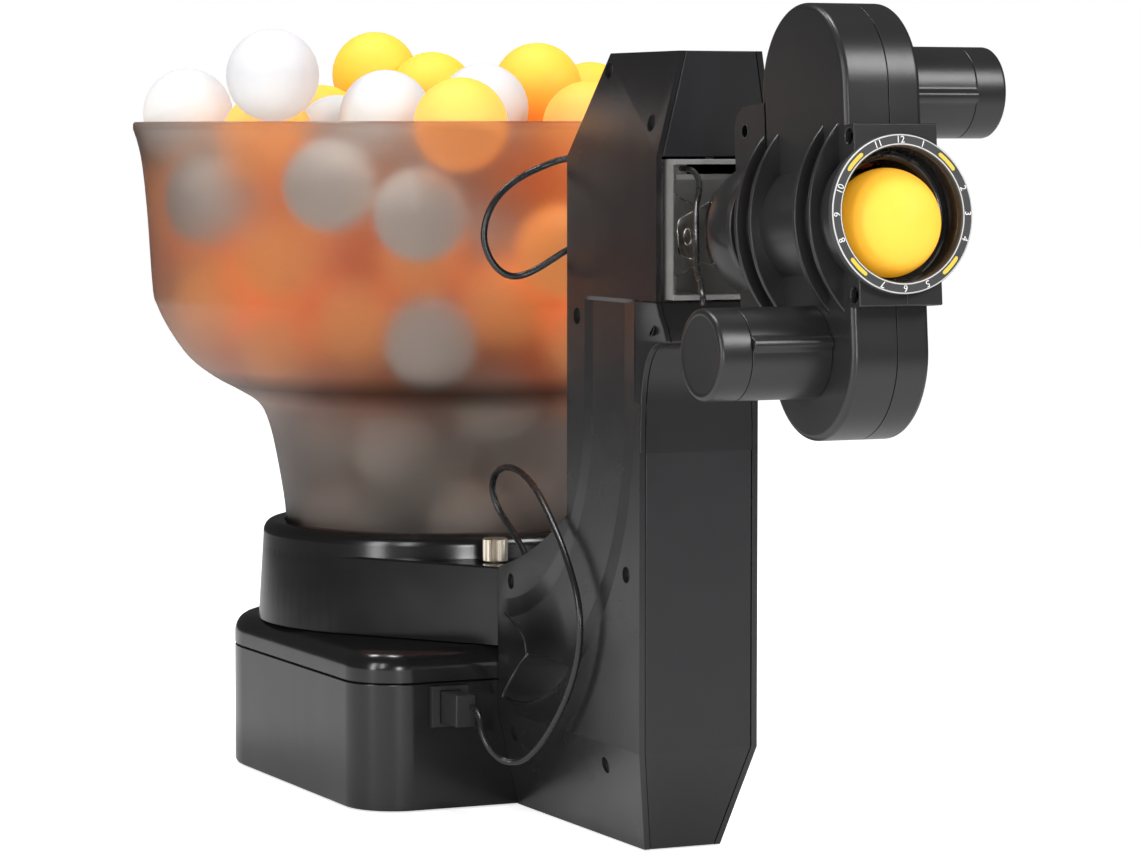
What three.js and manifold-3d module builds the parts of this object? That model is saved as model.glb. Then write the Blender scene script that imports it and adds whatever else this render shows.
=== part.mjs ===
// A table tennis robot: a ball hopper on a base, a slim tower that lifts the balls,
// and a two-wheel shooting head that swings, tilts and turns on the tower's window.
// Millimetres, +Z up. The robot shoots towards -Y and stands on the plane z = 0.
// The origin is on the floor, on the axis of the hopper and its turntable.
import * as THREE from 'three';
import { mergeVertices } from 'three/addons/utils/BufferGeometryUtils.js';
import Module from 'manifold-3d';

const wasm = await Module();
wasm.setup();

const AXIS_X = new THREE.Vector3(1, 0, 0);
const AXIS_Y = new THREE.Vector3(0, 1, 0);
const AXIS_Z = new THREE.Vector3(0, 0, 1);

// Shared values
const GAP = 0.3;
const WALL = 2.5;
const OVERRUN = 5;
const ARC_STEPS = 5;
const WIDE_ARC_STEPS = 9;
const ROUND_STEPS = 32;
const BOWL_STEPS = 48;
const SMALL_STEPS = 16;
const FULL_TURN = 360;
const QUARTER_TURN = 90;

// Turntable pan, which sets the size of the base, the collar and the hopper's neck
const PAN_FLOOR = 46;
const PAN_RADIUS = 77.5;
const PAN_TOP = 90;
const PAN_WALL = 2;
const PAN_LIP = 6;
const PAN_LIP_RADIUS = PAN_RADIUS - PAN_LIP;

// Base
const BASE_SIDE_MARGIN = 10.3;
const BASE_FRONT_MARGIN = 38.5;
const BASE_BACK_MARGIN = 10.5;
const BASE_HALF_WIDTH = PAN_RADIUS + BASE_SIDE_MARGIN;
const BASE_FRONT = PAN_RADIUS + BASE_FRONT_MARGIN;
const BASE_BACK = PAN_RADIUS + BASE_BACK_MARGIN;
const BASE_FRONT_CORNER = 23;
const BASE_BACK_CORNER = 54;
const BASE_UNDERSIDE = 0.6;
const BASE_SPLIT = 55;
const BASE_TOP = 69.3;
const BASE_EDGE = 8.5;
const BASE_EDGE_STEPS = 4;
const BASE_WALL = 3;
const FOOT_RADIUS = 8;
const FOOT_SINK = 1.8;
const FOOT_SIDE = 62;
const FOOT_SETBACK = 24;
const FOOT_REAR_SETBACK = 42;
const FOOT_FRONT = BASE_FRONT - FOOT_SETBACK;
const FOOT_BACK = BASE_BACK - FOOT_REAR_SETBACK;
const PAD_RADIUS = 7;

// Feed housing: the round collar and its straight run to the tower
const COLLAR_TOP = 114;
const COLLAR_TOP_MARGIN = 2;
const COLLAR_MARGIN = 6.5;
const COLLAR_FOOT_MARGIN = 9;
const COLLAR_TOP_RADIUS = PAN_RADIUS + COLLAR_TOP_MARGIN;
const COLLAR_RADIUS = PAN_RADIUS + COLLAR_MARGIN;
const COLLAR_FOOT_RADIUS = PAN_RADIUS + COLLAR_FOOT_MARGIN;
const COLLAR_EDGE = 5;
const COLLAR_EDGE_STEPS = 4;
const NOSE_HALF_WIDTH = 26.3;
const NOSE_TOP = 103.5;

// Turntable and its drive
const TABLE_HUB_RADIUS = 30;
const TABLE_HUB_HEIGHT = 34;
const TABLE_CROWN_HEIGHT = 12;
const TABLE_CROWN_RADIUS = 6;
const TABLE_EDGE_GAP = 2.5;
const TABLE_REACH = PAN_RADIUS - TABLE_EDGE_GAP;
const TABLE_ARMS = 7;
const TABLE_ARM_THICKNESS = 6;
const TABLE_ARM_HEIGHT = 26;
const TABLE_RUNNING_GAP = 1;
const TABLE_SHAFT_RADIUS = 4;
const FEED_GEARBOX_RADIUS = 19;
const FEED_GEARBOX_HEIGHT = 17;
const FEED_MOTOR_RADIUS = 13.5;
const FEED_MOTOR_FOOT = 5;

// Hopper: a neck, then a flare that is given as its growth beyond the neck's radius
const HOPPER_WALL = 2.3;
const NECK_INSET = 3.5;
const NECK_RADIUS = PAN_RADIUS - NECK_INSET;
const NECK_BOTTOM = PAN_TOP + GAP;
const HOPPER_PROFILE = [
  { flare: 0, height: 120 },
  { flare: 4, height: 143 },
  { flare: 7.5, height: 158 },
  { flare: 12, height: 167 },
  { flare: 21, height: 173 },
  { flare: 32, height: 179 },
  { flare: 43, height: 187.5 },
  { flare: 52, height: 200 },
  { flare: 57.5, height: 211 },
  { flare: 59.5, height: 219 },
  { flare: 61.5, height: 250 },
  { flare: 63.2, height: 269 },
  { flare: 64.6, height: 279 },
  { flare: 66.3, height: 286 },
];
const RIM_FLARE = 67.8;
const RIM_RADIUS = NECK_RADIUS + RIM_FLARE;
const RIM_LOW = 289;
const RIM_TOP = 293.5;

// Ball channel in the tower: a quarter turn that starts in front of the base, then straight up
const CHANNEL_WIDTH = 42;
const CHANNEL_WALL = 2.2;
const BEND_RADIUS = 111;
const BEND_LEAD = 1;
const RISER_HEIGHT = 43.5;
const GUIDE_RISE = 6.5;
const BEND_CENTRE_FORWARD = BASE_FRONT + BEND_LEAD;
const BEND_CENTRE_HEIGHT = PAN_FLOOR + CHANNEL_WIDTH / 2 + BEND_RADIUS;
const BEND_INNER = BEND_RADIUS - CHANNEL_WIDTH / 2;
const BEND_OUTER = BEND_RADIUS + CHANNEL_WIDTH / 2;
const RISER_TOP = BEND_CENTRE_HEIGHT + RISER_HEIGHT;
const GUIDE_CENTRE_HEIGHT = RISER_TOP + GUIDE_RISE;

// The height of the top of the bend's inner wall, a distance forward of the origin
function bendTopAt(forward) {
  const across = forward - BEND_CENTRE_FORWARD;
  return BEND_CENTRE_HEIGHT - Math.sqrt((BEND_INNER - CHANNEL_WALL) ** 2 - across ** 2);
}

// Tower, seen from the side as distances forward of the origin. It stands round the ball channel.
const TOWER_HALF_WIDTH = 26.3;
const TOWER_REAR = BASE_FRONT + GAP;
const ROOM_BEHIND_CHANNEL = 19.7;
const ROOM_BEFORE_CHANNEL = 7.3;
const CHIN_REACH = 14.7;
const FOOT_SLOPE = 14.3;
const TOP_BACK_SLOPE = 24.3;
const TOP_OVERHANG = 4;
const TOWER_BACK = BEND_CENTRE_FORWARD + BEND_INNER - ROOM_BEHIND_CHANNEL;
const COLUMN_FRONT = BEND_CENTRE_FORWARD + BEND_OUTER + ROOM_BEFORE_CHANNEL;
const TOWER_FRONT = COLUMN_FRONT + CHIN_REACH;
const TOWER_FOOT_FRONT = COLUMN_FRONT - FOOT_SLOPE;
const TOWER_FOOT_HALF_WIDTH = 17;
const TOWER_TOP_FRONT = TOWER_FRONT + TOP_OVERHANG;
const TOWER_TOP_BACK = TOWER_BACK + TOP_BACK_SLOPE;
const TOWER_TOP_HALF_WIDTH = 18;
const PAD_SETBACK = 16;
const PAD_FORWARD = TOWER_FOOT_FRONT - PAD_SETBACK;

// Tower heights
const TOWER_UNDERSIDE = 0.6;
const TOWER_BEND = 42;
const SILL_RISE = 1.1;
const WINDOW_HEIGHT = 56.4;
const TOP_RISE = 41.6;
const CHIN_HEIGHT = 16.6;
const COVE_HEIGHT = 24;
const WINDOW_FLOOR = RISER_TOP + SILL_RISE;
const TOWER_FOLD = WINDOW_FLOOR + WINDOW_HEIGHT;
const TOWER_TOP = TOWER_FOLD + TOP_RISE;
const CHIN_BOTTOM = WINDOW_FLOOR - CHIN_HEIGHT;
const COVE_LOW = CHIN_BOTTOM - COVE_HEIGHT;
const ARM_TOP_LIFT = 6.6;
const ARM_TOP_DIP = 39;
const ARM_TOP_MIDDLE = BASE_FRONT + ARM_TOP_DIP;
const ARM_TOP_MIDDLE_RISE = 11.5;
const ARM_TOP_MIDDLE_HEIGHT = NOSE_TOP + ARM_TOP_MIDDLE_RISE;
const ARM_TOP_SAG = 3;
const ARM_TOP_FRONT_HEIGHT = bendTopAt(TOWER_BACK) + ARM_TOP_LIFT;

// Chin, the band over the channel and the screws in the side panels
const CHIN_LAND = 3;
const CHIN_DEPTH = 19.5;
const CHIN_REAR = TOWER_FRONT - CHIN_DEPTH;
const CHIN_FACET_INSET = 4.3;
const CHIN_FACET_OVERLAP = 3.5;
const CHIN_FACET_REAR = CHIN_REAR - CHIN_FACET_OVERLAP;
const BAND_RECESS = 1;
const BAND_DROP = 1.6;
const BAND_TOP = WINDOW_FLOOR - BAND_DROP;
const SCREW_HEAD_RADIUS = 3.4;
const SCREW_HOLE_DEPTH = 1.6;
const UPPER_SCREWS = [
  { setback: 58, rise: 34.5 },
  { setback: 10, rise: 13.4 },
  { setback: 73.9, rise: -64.9 },
];
const LOWER_SCREWS = [
  { reach: 127.9, height: 112.5 },
  { reach: 14.1, height: 98.7 },
  { reach: 104.4, height: 32.5 },
  { reach: 12.7, height: 33.2 },
];
const CHIN_SCREW_SETBACK = 8.3;
const CHIN_SCREW_RISE = 5.4;

// Swing: the clear yoke that turns in the window
const SWING_SETBACK = 6;
const SWING_FORWARD = TOWER_FRONT - SWING_SETBACK;
const SWING_SHAFT_RADIUS = 1.6;
const SWING_SHAFT_RISE = 6;
const SWING_DECK_THICKNESS = 3;
const SWING_DECK_SETBACK = 10.4;
const SWING_DECK_REAR = TOWER_TOP_BACK + SWING_DECK_SETBACK;
const YOKE_GAP = 0.7;
const YOKE_PLATE = 2;
const YOKE_INNER = 20.3;
const YOKE_WALL = 1.2;
const YOKE_BACK_REACH = 7;
const YOKE_FRONT_REACH = 12;
const YOKE_CORNER = 5;
const EAR_REACH = 32;
const YOKE_REAR = SWING_FORWARD - YOKE_BACK_REACH;
const YOKE_FRONT = SWING_FORWARD + YOKE_FRONT_REACH;
const EAR_FRONT = SWING_FORWARD + EAR_REACH;
const EAR_HALF_HEIGHT = 11.5;
const EAR_ROOT_HALF_HEIGHT = 16;
const EAR_CORNER = 4;
const CLIP_WIDTH = 5;
const CLIP_DEPTH = 4;
const CLIP_HEIGHT = 4;
const SWING_GEARBOX_RADIUS = 13;
const SWING_GEARBOX_HEIGHT = 14;
const SWING_GEARBOX_BACK = 11;
const SWING_MOTOR_RADIUS = 10;
const SWING_MOTOR_HEIGHT = 16;

// Shooting head: lengths along the nozzle are measured forward from the tilt pivot
const HEAD_TILT = 4.8;
const PIVOT_REACH = 26;
const PIVOT_RISE = 25.9;
const PIVOT_FORWARD = SWING_FORWARD + PIVOT_REACH;
const PIVOT_HEIGHT = WINDOW_FLOOR + PIVOT_RISE;
const PIVOT_RADIUS = 3;
const ARM_THICKNESS = 1.7;
const ARM_REAR = 7;
const ARM_FRONT = 25.5;
const ARM_HALF_HEIGHT = 13;
const ARM_CORNER = 4;
const BORE_RADIUS = 20.7;
const CUP_RADIUS = 28;
const CUP_CENTRE = 33;
const CUP_REAR = 16;
const CUP_FRONT = 42;
const CUP_STEPS = 8;
const CUP_SWEEP_RADIUS = 28.8;
const BARREL_RADIUS = 25;
const BARREL_COLLAR_RADIUS = 27.5;
const BARREL_COLLAR_LENGTH = 4;
const FIN_PLACES = [53.9, 65.5, 100.8, 112.4];
const FIN_THICKNESS = 2.2;
const FIN_REACH = 29.3;
const FIN_ARC = 51;
const WHEEL_PLACE = 86;
const WHEEL_OFFSET = 48;
const WHEEL_RADIUS = 28.5;
const WHEEL_HALF_WIDTH = 9;
const TYRE_DEPTH = 6;
const WHEEL_GAP = 1.3;
const HOUSING_WALL = 3;
const HOUSING_HALF_WIDTH = 16;
const HOUSING_SIDE_WALL = 3;
const HOUSING_EDGE = 3.5;
const HOUSING_EDGE_STEPS = 3;
const HEAD_SEAM = 2.3;
const LUG_PLACE = 39.5;
const LUG_OFFSET = 37.5;
const LUG_RADIUS = 9.5;
const BOLT_RADIUS = 1.4;
const BOLT_HEAD_RADIUS = 2.6;
const BOLT_HEAD_LENGTH = 2.2;
const BOLT_SINK = 4;
const BOLT_HEX_RADIUS = 1.5;
const BOLT_HEX_DEPTH = 1.3;
const HEX_SIDES = 6;
const LUG_BOLT_LENGTH = 25;
const CLAMP_BOLT_LENGTH = 25;
const NOZZLE_RADIUS = 27.2;
const NOZZLE_BORE = 24.6;
const NOZZLE_REAR = 119.1;
const NOZZLE_FRONT = 127;
const CLAMP_HALF_WIDTH = 17.1;
const CLAMP_REACH = 33;
const CLAMP_BOLT_PLACE = 122.9;
const CLAMP_BOLT_OFFSET = 28.6;
const RING_RADIUS = 29;
const RING_FRONT = 130.3;
const AXLE_RADIUS = 1.6;
const AXLE_SEAT = 1.7;
const MOTOR_RADIUS = 14;
const MOTOR_SLEEVE_RADIUS = 17.1;
const MOTOR_SLEEVE_END = 48.5;
const MOTOR_END = 61.5;
const MOTOR_CAP_EDGE = 1.6;
const MOTOR_CAN_END = 52;
const WIRE_RIB_RADIUS = 2.3;
const WIRE_RIB_TURN = 10;
const WIRE_NOTCH_RADIUS = 2.9;
const WIRE_NOTCH_DEPTH = 4;

// Cables, plug and sockets
const CABLE_RADIUS = 1.4;
const HEAD_CABLE_RADIUS = 1.15;
const CABLE_SIDES = 8;
const CABLE_STEP = 6;
const PLUG_LOW_X = -54.2;
const PLUG_WIDTH = 9;
const PLUG_LOW = 38.4;
const PLUG_HEIGHT = 13.4;
const PLUG_REACH = 20;
const PLUG_FRONT = BASE_FRONT + PLUG_REACH;
const SOCKET_BORDER = 4;
const SOCKET_PROUD = 3.2;
const SOCKET_WALL = 1.5;
const SOCKET_TAIL = 8;
const THUMB_SIDE = 19.5;
const THUMB_SETBACK = 18;
const THUMB_FORWARD = BASE_FRONT - THUMB_SETBACK;
const THUMB_RADIUS = 5.5;
const THUMB_HEIGHT = 10.3;
const THUMB_RIDGES = 20;
const THUMB_RIDGE_DEPTH = 0.35;
const THUMB_STEM_RADIUS = 2;
const THUMB_STEM_LENGTH = 9;
const JACK_SIDE = 16;
const JACK_HEIGHT = 30;
const JACK_RADIUS = 5;
const JACK_BORE = 2.9;
const JACK_DEPTH = 9;
const BOARD_LENGTH = 70;
const BOARD_WIDTH = 42;
const BOARD_THICKNESS = 1.6;
const BOARD_LIFT = 6;
const BOARD_SIDE = 34;
const BOARD_SETBACK = 47;
const BOARD_BACK = BASE_BACK - BOARD_SETBACK;
const POST_RADIUS = 3;

// Cable routes, from end to end: cable A is given from the back of the tower at the fold, cable B
// from the front of the base, and cable C from the swing axis at the fold and from the tilt pivot
const CABLE_A_ROUTE = [
  [-12, -1.4, -3.5],
  [-12, 1.3, -3.5],
  [-12.1, 3.9, -3.4],
  [-14.8, 7.5, -2.1],
  [-18.8, 10.9, -0.8],
  [-23.8, 14.9, -1.9],
  [-29.7, 17.3, -4.4],
  [-37, 18.3, -7.7],
  [-43.3, 19.3, -11.8],
  [-48.7, 19.3, -16.7],
  [-52.5, 19.3, -22.4],
  [-54.7, 19.3, -29],
  [-54.8, 19, -35.6],
  [-52.6, 18.3, -42],
  [-49, 17.3, -46.7],
  [-44.4, 16.3, -49.1],
  [-39.2, 15.3, -48.8],
  [-33.8, 13.3, -46.3],
  [-28.4, 10.7, -42.6],
  [-23.4, 8.1, -39],
  [-18.4, 6.1, -36.6],
  [-14.4, 5.4, -35.6],
  [-12.1, 3.5, -35.4],
  [-12, 1.1, -35.4],
  [-12, -1.4, -35.4],
];
const CABLE_B_ROUTE = [
  [-47, -20.3, 46.6],
  [-47, -23.6, 46.6],
  [-47.6, -27.6, 45.6],
  [-48.2, -31.4, 42.6],
  [-48.5, -34.6, 38],
  [-47.6, -37.6, 33.4],
  [-45.4, -39.6, 29.6],
  [-42.4, -42, 27],
  [-39, -45.6, 26.5],
  [-36.4, -51, 28.4],
  [-34.4, -59, 33.8],
  [-33.2, -67.6, 41.2],
  [-32.3, -76, 49.8],
  [-31.9, -84, 59],
  [-31.7, -90.8, 69.4],
  [-31.6, -94.8, 80],
  [-31.6, -95.4, 91],
  [-31.6, -92.6, 100.8],
  [-31.5, -86.2, 110],
  [-31.2, -78, 118.8],
  [-30.7, -68, 127],
  [-30, -56.6, 135],
  [-29, -44, 141.4],
  [-28, -30.4, 145.6],
  [-27, -17, 147.2],
  [-26, -4.8, 146.2],
  [-25, 4.8, 143],
  [-23.8, 11, 138],
  [-22.4, 13.2, 132.6],
  [-20.8, 11.8, 127.4],
  [-19.4, 8, 122.8],
  [-18.2, 3, 118.4],
  [-17.4, -2.2, 114],
  [-17, -6.6, 110.4],
  [-17, -9, 107.6],
  [-17, -9.4, 106],
  [-17, -9.4, 104.4],
];
const CABLE_C_UPPER_ROUTE = [
  [-14, -3.3, -4.4],
  [-14, -6.5, -4.4],
  [-14.3, -12, -4.8],
  [-15.3, -18.5, -6.4],
  [-17.5, -25.8, -9.2],
  [-20.6, -32.4, -12.4],
];
const CABLE_C_LOWER_ROUTE = [
  [-20.8, -6.8, 17.9],
  [-23.4, -11.1, 15.2],
  [-25.7, -14.4, 12.5],
  [-28.1, -18.8, 7.7],
  [-30.9, -24.6, 1.1],
  [-34.6, -32.2, -4.7],
  [-40.6, -44.6, -10.1],
  [-46.6, -58, -13.3],
  [-52, -70.6, -14.5],
  [-56, -79.6, -16.7],
  [-57.8, -84.4, -20.1],
  [-58, -85.4, -22.9],
];

// Finishes
const SATIN_BLACK = { color: 0x2b2b2e, roughness: 0.45, metalness: 0 };
const GLOSS_BLACK = { color: 0x17171a, roughness: 0.12, metalness: 0 };
const SMOKE = { color: 0x6d625c, roughness: 0.35, metalness: 0 };
const CLEAR = { color: 0xc9c9c6, roughness: 0.08, metalness: 0 };
const DIAL_GREY = { color: 0x3a3b3e, roughness: 0.5, metalness: 0 };
const RUBBER_BLACK = { color: 0x141414, roughness: 0.8, metalness: 0 };
const TYRE_RED = { color: 0x8f3b22, roughness: 0.85, metalness: 0 };
const PLAIN_WHITE = { color: 0xd8d8d4, roughness: 0.5, metalness: 0 };
const STEEL = { color: 0xa8a8a6, roughness: 0.3, metalness: 1 };
const NICKEL = { color: 0xb3aa9a, roughness: 0.35, metalness: 1 };
const BOARD_GREEN = { color: 0x1e5a34, roughness: 0.55, metalness: 0 };
const CABLE_BLACK = { color: 0x101012, roughness: 0.25, metalness: 0 };

// Making solids
function solidOf(geometry) {
  const plain = geometry.clone();
  plain.deleteAttribute('normal');
  plain.deleteAttribute('uv');
  const merged = mergeVertices(plain);
  const mesh = new wasm.Mesh({
    numProp: 3,
    vertProperties: new Float32Array(merged.attributes.position.array),
    triVerts: new Uint32Array(merged.index.array),
  });
  return new wasm.Manifold(mesh);
}

function geometryOf(solid) {
  const mesh = solid.getMesh();
  const geometry = new THREE.BufferGeometry();
  geometry.setAttribute('position', new THREE.BufferAttribute(mesh.vertProperties, 3));
  geometry.setIndex(new THREE.BufferAttribute(mesh.triVerts, 1));
  geometry.computeVertexNormals();
  return geometry;
}

function join(...solids) {
  return solids.reduce((whole, next) => whole.add(next));
}

function cut(solid, ...cutters) {
  return cutters.reduce((rest, next) => rest.subtract(next), solid);
}

// A flat outline pushed out across one axis. Outlines across X are drawn as (y, z),
// those across Y as (x, z) and those up Z as (x, y).
function pushed(shape, length, steps) {
  return new THREE.ExtrudeGeometry(shape, {
    depth: length,
    bevelEnabled: false,
    curveSegments: steps,
  });
}

// A flat outline pushed out like the others, with both of its ends rounded off
function softened(shape, low, high, edge, edgeSteps, steps = ARC_STEPS) {
  const geometry = new THREE.ExtrudeGeometry(shape, {
    depth: high - low - edge - edge,
    bevelThickness: edge,
    bevelSize: edge,
    bevelOffset: -edge,
    bevelSegments: edgeSteps,
    curveSegments: steps,
  });
  geometry.translate(0, 0, low + edge);
  return geometry;
}

function acrossX(shape, low, high, steps = ARC_STEPS) {
  const geometry = pushed(shape, high - low, steps);
  geometry.applyMatrix4(new THREE.Matrix4().makeBasis(AXIS_Y, AXIS_Z, AXIS_X));
  geometry.translate(low, 0, 0);
  return solidOf(geometry);
}

function acrossY(shape, low, high, steps = ARC_STEPS) {
  const geometry = pushed(shape, high - low, steps);
  const back = AXIS_Y.clone().negate();
  geometry.applyMatrix4(new THREE.Matrix4().makeBasis(AXIS_X, AXIS_Z, back));
  geometry.translate(0, high, 0);
  return solidOf(geometry);
}

function upZ(shape, low, high, steps = ARC_STEPS) {
  const geometry = pushed(shape, high - low, steps);
  geometry.translate(0, 0, low);
  return solidOf(geometry);
}

function block(lowX, highX, lowY, highY, lowZ, highZ) {
  const geometry = new THREE.BoxGeometry(highX - lowX, highY - lowY, highZ - lowZ);
  geometry.translate((lowX + highX) / 2, (lowY + highY) / 2, (lowZ + highZ) / 2);
  return solidOf(geometry);
}

function postZ(radius, x, y, low, high, steps = SMALL_STEPS) {
  const geometry = new THREE.CylinderGeometry(radius, radius, high - low, steps);
  geometry.rotateX(Math.PI / 2);
  geometry.translate(x, y, (low + high) / 2);
  return solidOf(geometry);
}

function rodX(radius, y, z, low, high, steps = SMALL_STEPS) {
  const geometry = new THREE.CylinderGeometry(radius, radius, high - low, steps);
  geometry.rotateZ(Math.PI / 2);
  geometry.translate((low + high) / 2, y, z);
  return solidOf(geometry);
}

function rodY(radius, x, z, low, high, steps = SMALL_STEPS) {
  const geometry = new THREE.CylinderGeometry(radius, radius, high - low, steps);
  geometry.translate(x, (low + high) / 2, z);
  return solidOf(geometry);
}

// A closed profile of (radius, height) turned about the vertical axis
function turnedZ(points, steps = BOWL_STEPS) {
  const geometry = new THREE.LatheGeometry([...points, points[0]], steps);
  geometry.rotateX(Math.PI / 2);
  return solidOf(geometry);
}

// A closed profile of (radius, forward) turned about the nozzle axis, forward being -Y
function turnedY(points, steps = ROUND_STEPS) {
  const profile = [...points, points[0]].map((p) => new THREE.Vector2(p.x, -p.y));
  return solidOf(new THREE.LatheGeometry(profile.reverse(), steps));
}

function at(radius, height) {
  return new THREE.Vector2(radius, height);
}

function outline(points) {
  return new THREE.Shape(points.map(([u, v]) => new THREE.Vector2(u, v)));
}

// An outline whose corners, given as [u, v, radius], are rounded by true arcs
function rounded(corners) {
  const shape = new THREE.Shape();
  corners.forEach(([u, v, radius], i) => {
    const here = new THREE.Vector2(u, v);
    const [lastU, lastV] = corners.at(i - 1);
    const [nextU, nextV] = corners[(i + 1) % corners.length];
    const before = new THREE.Vector2(lastU, lastV).sub(here).normalize();
    const after = new THREE.Vector2(nextU, nextV).sub(here).normalize();
    const first = i === 0;
    if (!radius) {
      if (first) shape.moveTo(u, v);
      else shape.lineTo(u, v);
      return;
    }
    const half = Math.acos(before.dot(after)) / 2;
    const start = here.clone().addScaledVector(before, radius / Math.tan(half));
    const middle = before.clone().add(after).normalize();
    const centre = here.clone().addScaledVector(middle, radius / Math.sin(half));
    const end = here.clone().addScaledVector(after, radius / Math.tan(half));
    const from = Math.atan2(start.y - centre.y, start.x - centre.x);
    const to = Math.atan2(end.y - centre.y, end.x - centre.x);
    const clockwise = before.cross(after) > 0;
    if (first) shape.moveTo(start.x, start.y);
    else shape.lineTo(start.x, start.y);
    shape.absarc(centre.x, centre.y, radius, from, to, clockwise);
  });
  return shape;
}

const group = new THREE.Group();

function carried(route, y, z) {
  return route.map(([x, dy, dz]) => [x, y + dy, z + dz]);
}

const CABLE_A_PATH = carried(CABLE_A_ROUTE, -TOWER_BACK, TOWER_FOLD);
const CABLE_B_PATH = carried(CABLE_B_ROUTE, -BASE_FRONT, 0);
const CABLE_C_UPPER_PATH = carried(CABLE_C_UPPER_ROUTE, -SWING_FORWARD, TOWER_FOLD);
const CABLE_C_LOWER_PATH = carried(CABLE_C_LOWER_ROUTE, -PIVOT_FORWARD, PIVOT_HEIGHT);

function place(parent, name, solid, finish) {
  const mesh = new THREE.Mesh(geometryOf(solid), new THREE.MeshStandardMaterial(finish));
  mesh.name = name;
  parent.add(mesh);
}

// Base
function baseOutline(inset) {
  const side = BASE_HALF_WIDTH - inset;
  const front = inset - BASE_FRONT;
  const back = BASE_BACK - inset;
  return rounded([
    [-side, front, BASE_FRONT_CORNER - inset],
    [side, front, BASE_FRONT_CORNER - inset],
    [side, back, BASE_BACK_CORNER - inset],
    [-side, back, BASE_BACK_CORNER - inset],
  ]);
}

const FOOT_PLACES = [
  [-FOOT_SIDE, -FOOT_FRONT],
  [FOOT_SIDE, -FOOT_FRONT],
  [-FOOT_SIDE, FOOT_BACK],
  [FOOT_SIDE, FOOT_BACK],
];
const TRAY_FLOOR = BASE_UNDERSIDE + BASE_WALL;
const CHUTE_INNER = CHANNEL_WIDTH / 2;
const CHUTE_OUTER = CHUTE_INNER + CHANNEL_WALL;
const CHUTE_PASS = CHUTE_OUTER + GAP;
const BOARD_CORNERS = [
  [-BOARD_SIDE, BOARD_BACK],
  [BOARD_SIDE, BOARD_BACK],
];

function footPocket(x, y) {
  return postZ(FOOT_RADIUS + GAP, x, y, 0, BASE_UNDERSIDE + FOOT_SINK);
}

function socketHole(margin) {
  return block(
    PLUG_LOW_X - margin,
    PLUG_LOW_X + PLUG_WIDTH + margin,
    -BASE_FRONT - SOCKET_PROUD - OVERRUN,
    -BASE_FRONT + BASE_WALL + OVERRUN,
    PLUG_LOW - margin,
    PLUG_LOW + PLUG_HEIGHT + margin,
  );
}

function jackHole(x) {
  const inside = BASE_BACK - BASE_WALL - OVERRUN;
  return rodY(JACK_RADIUS + GAP, x, JACK_HEIGHT, inside, BASE_BACK + OVERRUN);
}

function chutePassage(low, high) {
  const inside = -BASE_FRONT + BASE_WALL + OVERRUN;
  return block(-CHUTE_PASS, CHUTE_PASS, -BASE_FRONT - OVERRUN, inside, low, high);
}

function makeBaseTray() {
  const walls = cut(
    upZ(baseOutline(0), BASE_UNDERSIDE, BASE_SPLIT),
    upZ(baseOutline(BASE_WALL), TRAY_FLOOR, BASE_SPLIT + OVERRUN),
  );
  const posts = BOARD_CORNERS.map(([x, y]) =>
    postZ(POST_RADIUS, x, y, BASE_UNDERSIDE, TRAY_FLOOR + BOARD_LIFT),
  );
  return cut(
    join(walls, ...posts),
    ...FOOT_PLACES.map(([x, y]) => footPocket(x, y)),
    chutePassage(PAN_FLOOR - CHANNEL_WALL - GAP, BASE_SPLIT + OVERRUN),
    socketHole(GAP + SOCKET_WALL + GAP),
    jackHole(-JACK_SIDE),
    jackHole(JACK_SIDE),
  );
}

function makeBaseCover() {
  const low = BASE_SPLIT + GAP;
  const side = BASE_HALF_WIDTH + OVERRUN;
  const pan = PAN_RADIUS + PAN_WALL + GAP;
  return cut(
    solidOf(softened(baseOutline(0), BASE_SPLIT - BASE_EDGE, BASE_TOP, BASE_EDGE, BASE_EDGE_STEPS)),
    block(-side, side, -BASE_FRONT - OVERRUN, BASE_BACK + OVERRUN, 0, low),
    upZ(baseOutline(BASE_WALL), 0, BASE_TOP - BASE_EDGE),
    upZ(baseOutline(BASE_EDGE), 0, BASE_TOP - BASE_WALL),
    postZ(pan, 0, 0, 0, BASE_TOP + OVERRUN, BOWL_STEPS),
    block(-CHUTE_PASS, CHUTE_PASS, -BASE_FRONT - OVERRUN, 0, 0, BASE_TOP + OVERRUN),
  );
}

function makeFeet(parent) {
  FOOT_PLACES.forEach(([x, y], i) => {
    const foot = postZ(FOOT_RADIUS, x, y, 0, BASE_UNDERSIDE + FOOT_SINK - GAP);
    place(parent, `foot_${i + 1}`, foot, RUBBER_BLACK);
  });
}

// The collar and its straight run to the tower, as seen from above
function collarOutline(radius, grow) {
  const side = NOSE_HALF_WIDTH + grow;
  const front = -BASE_FRONT;
  const reach = Math.hypot(side, front);
  const lean = Math.atan2(side, -front);
  const spread = Math.acos(radius / reach);
  const turn = lean + spread - Math.PI / 2;
  const shape = new THREE.Shape();
  shape.moveTo(side, front);
  shape.lineTo(radius * Math.cos(turn), radius * Math.sin(turn));
  shape.absarc(0, 0, radius, turn, Math.PI - turn, false);
  shape.lineTo(-side, front);
  return shape;
}

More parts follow.
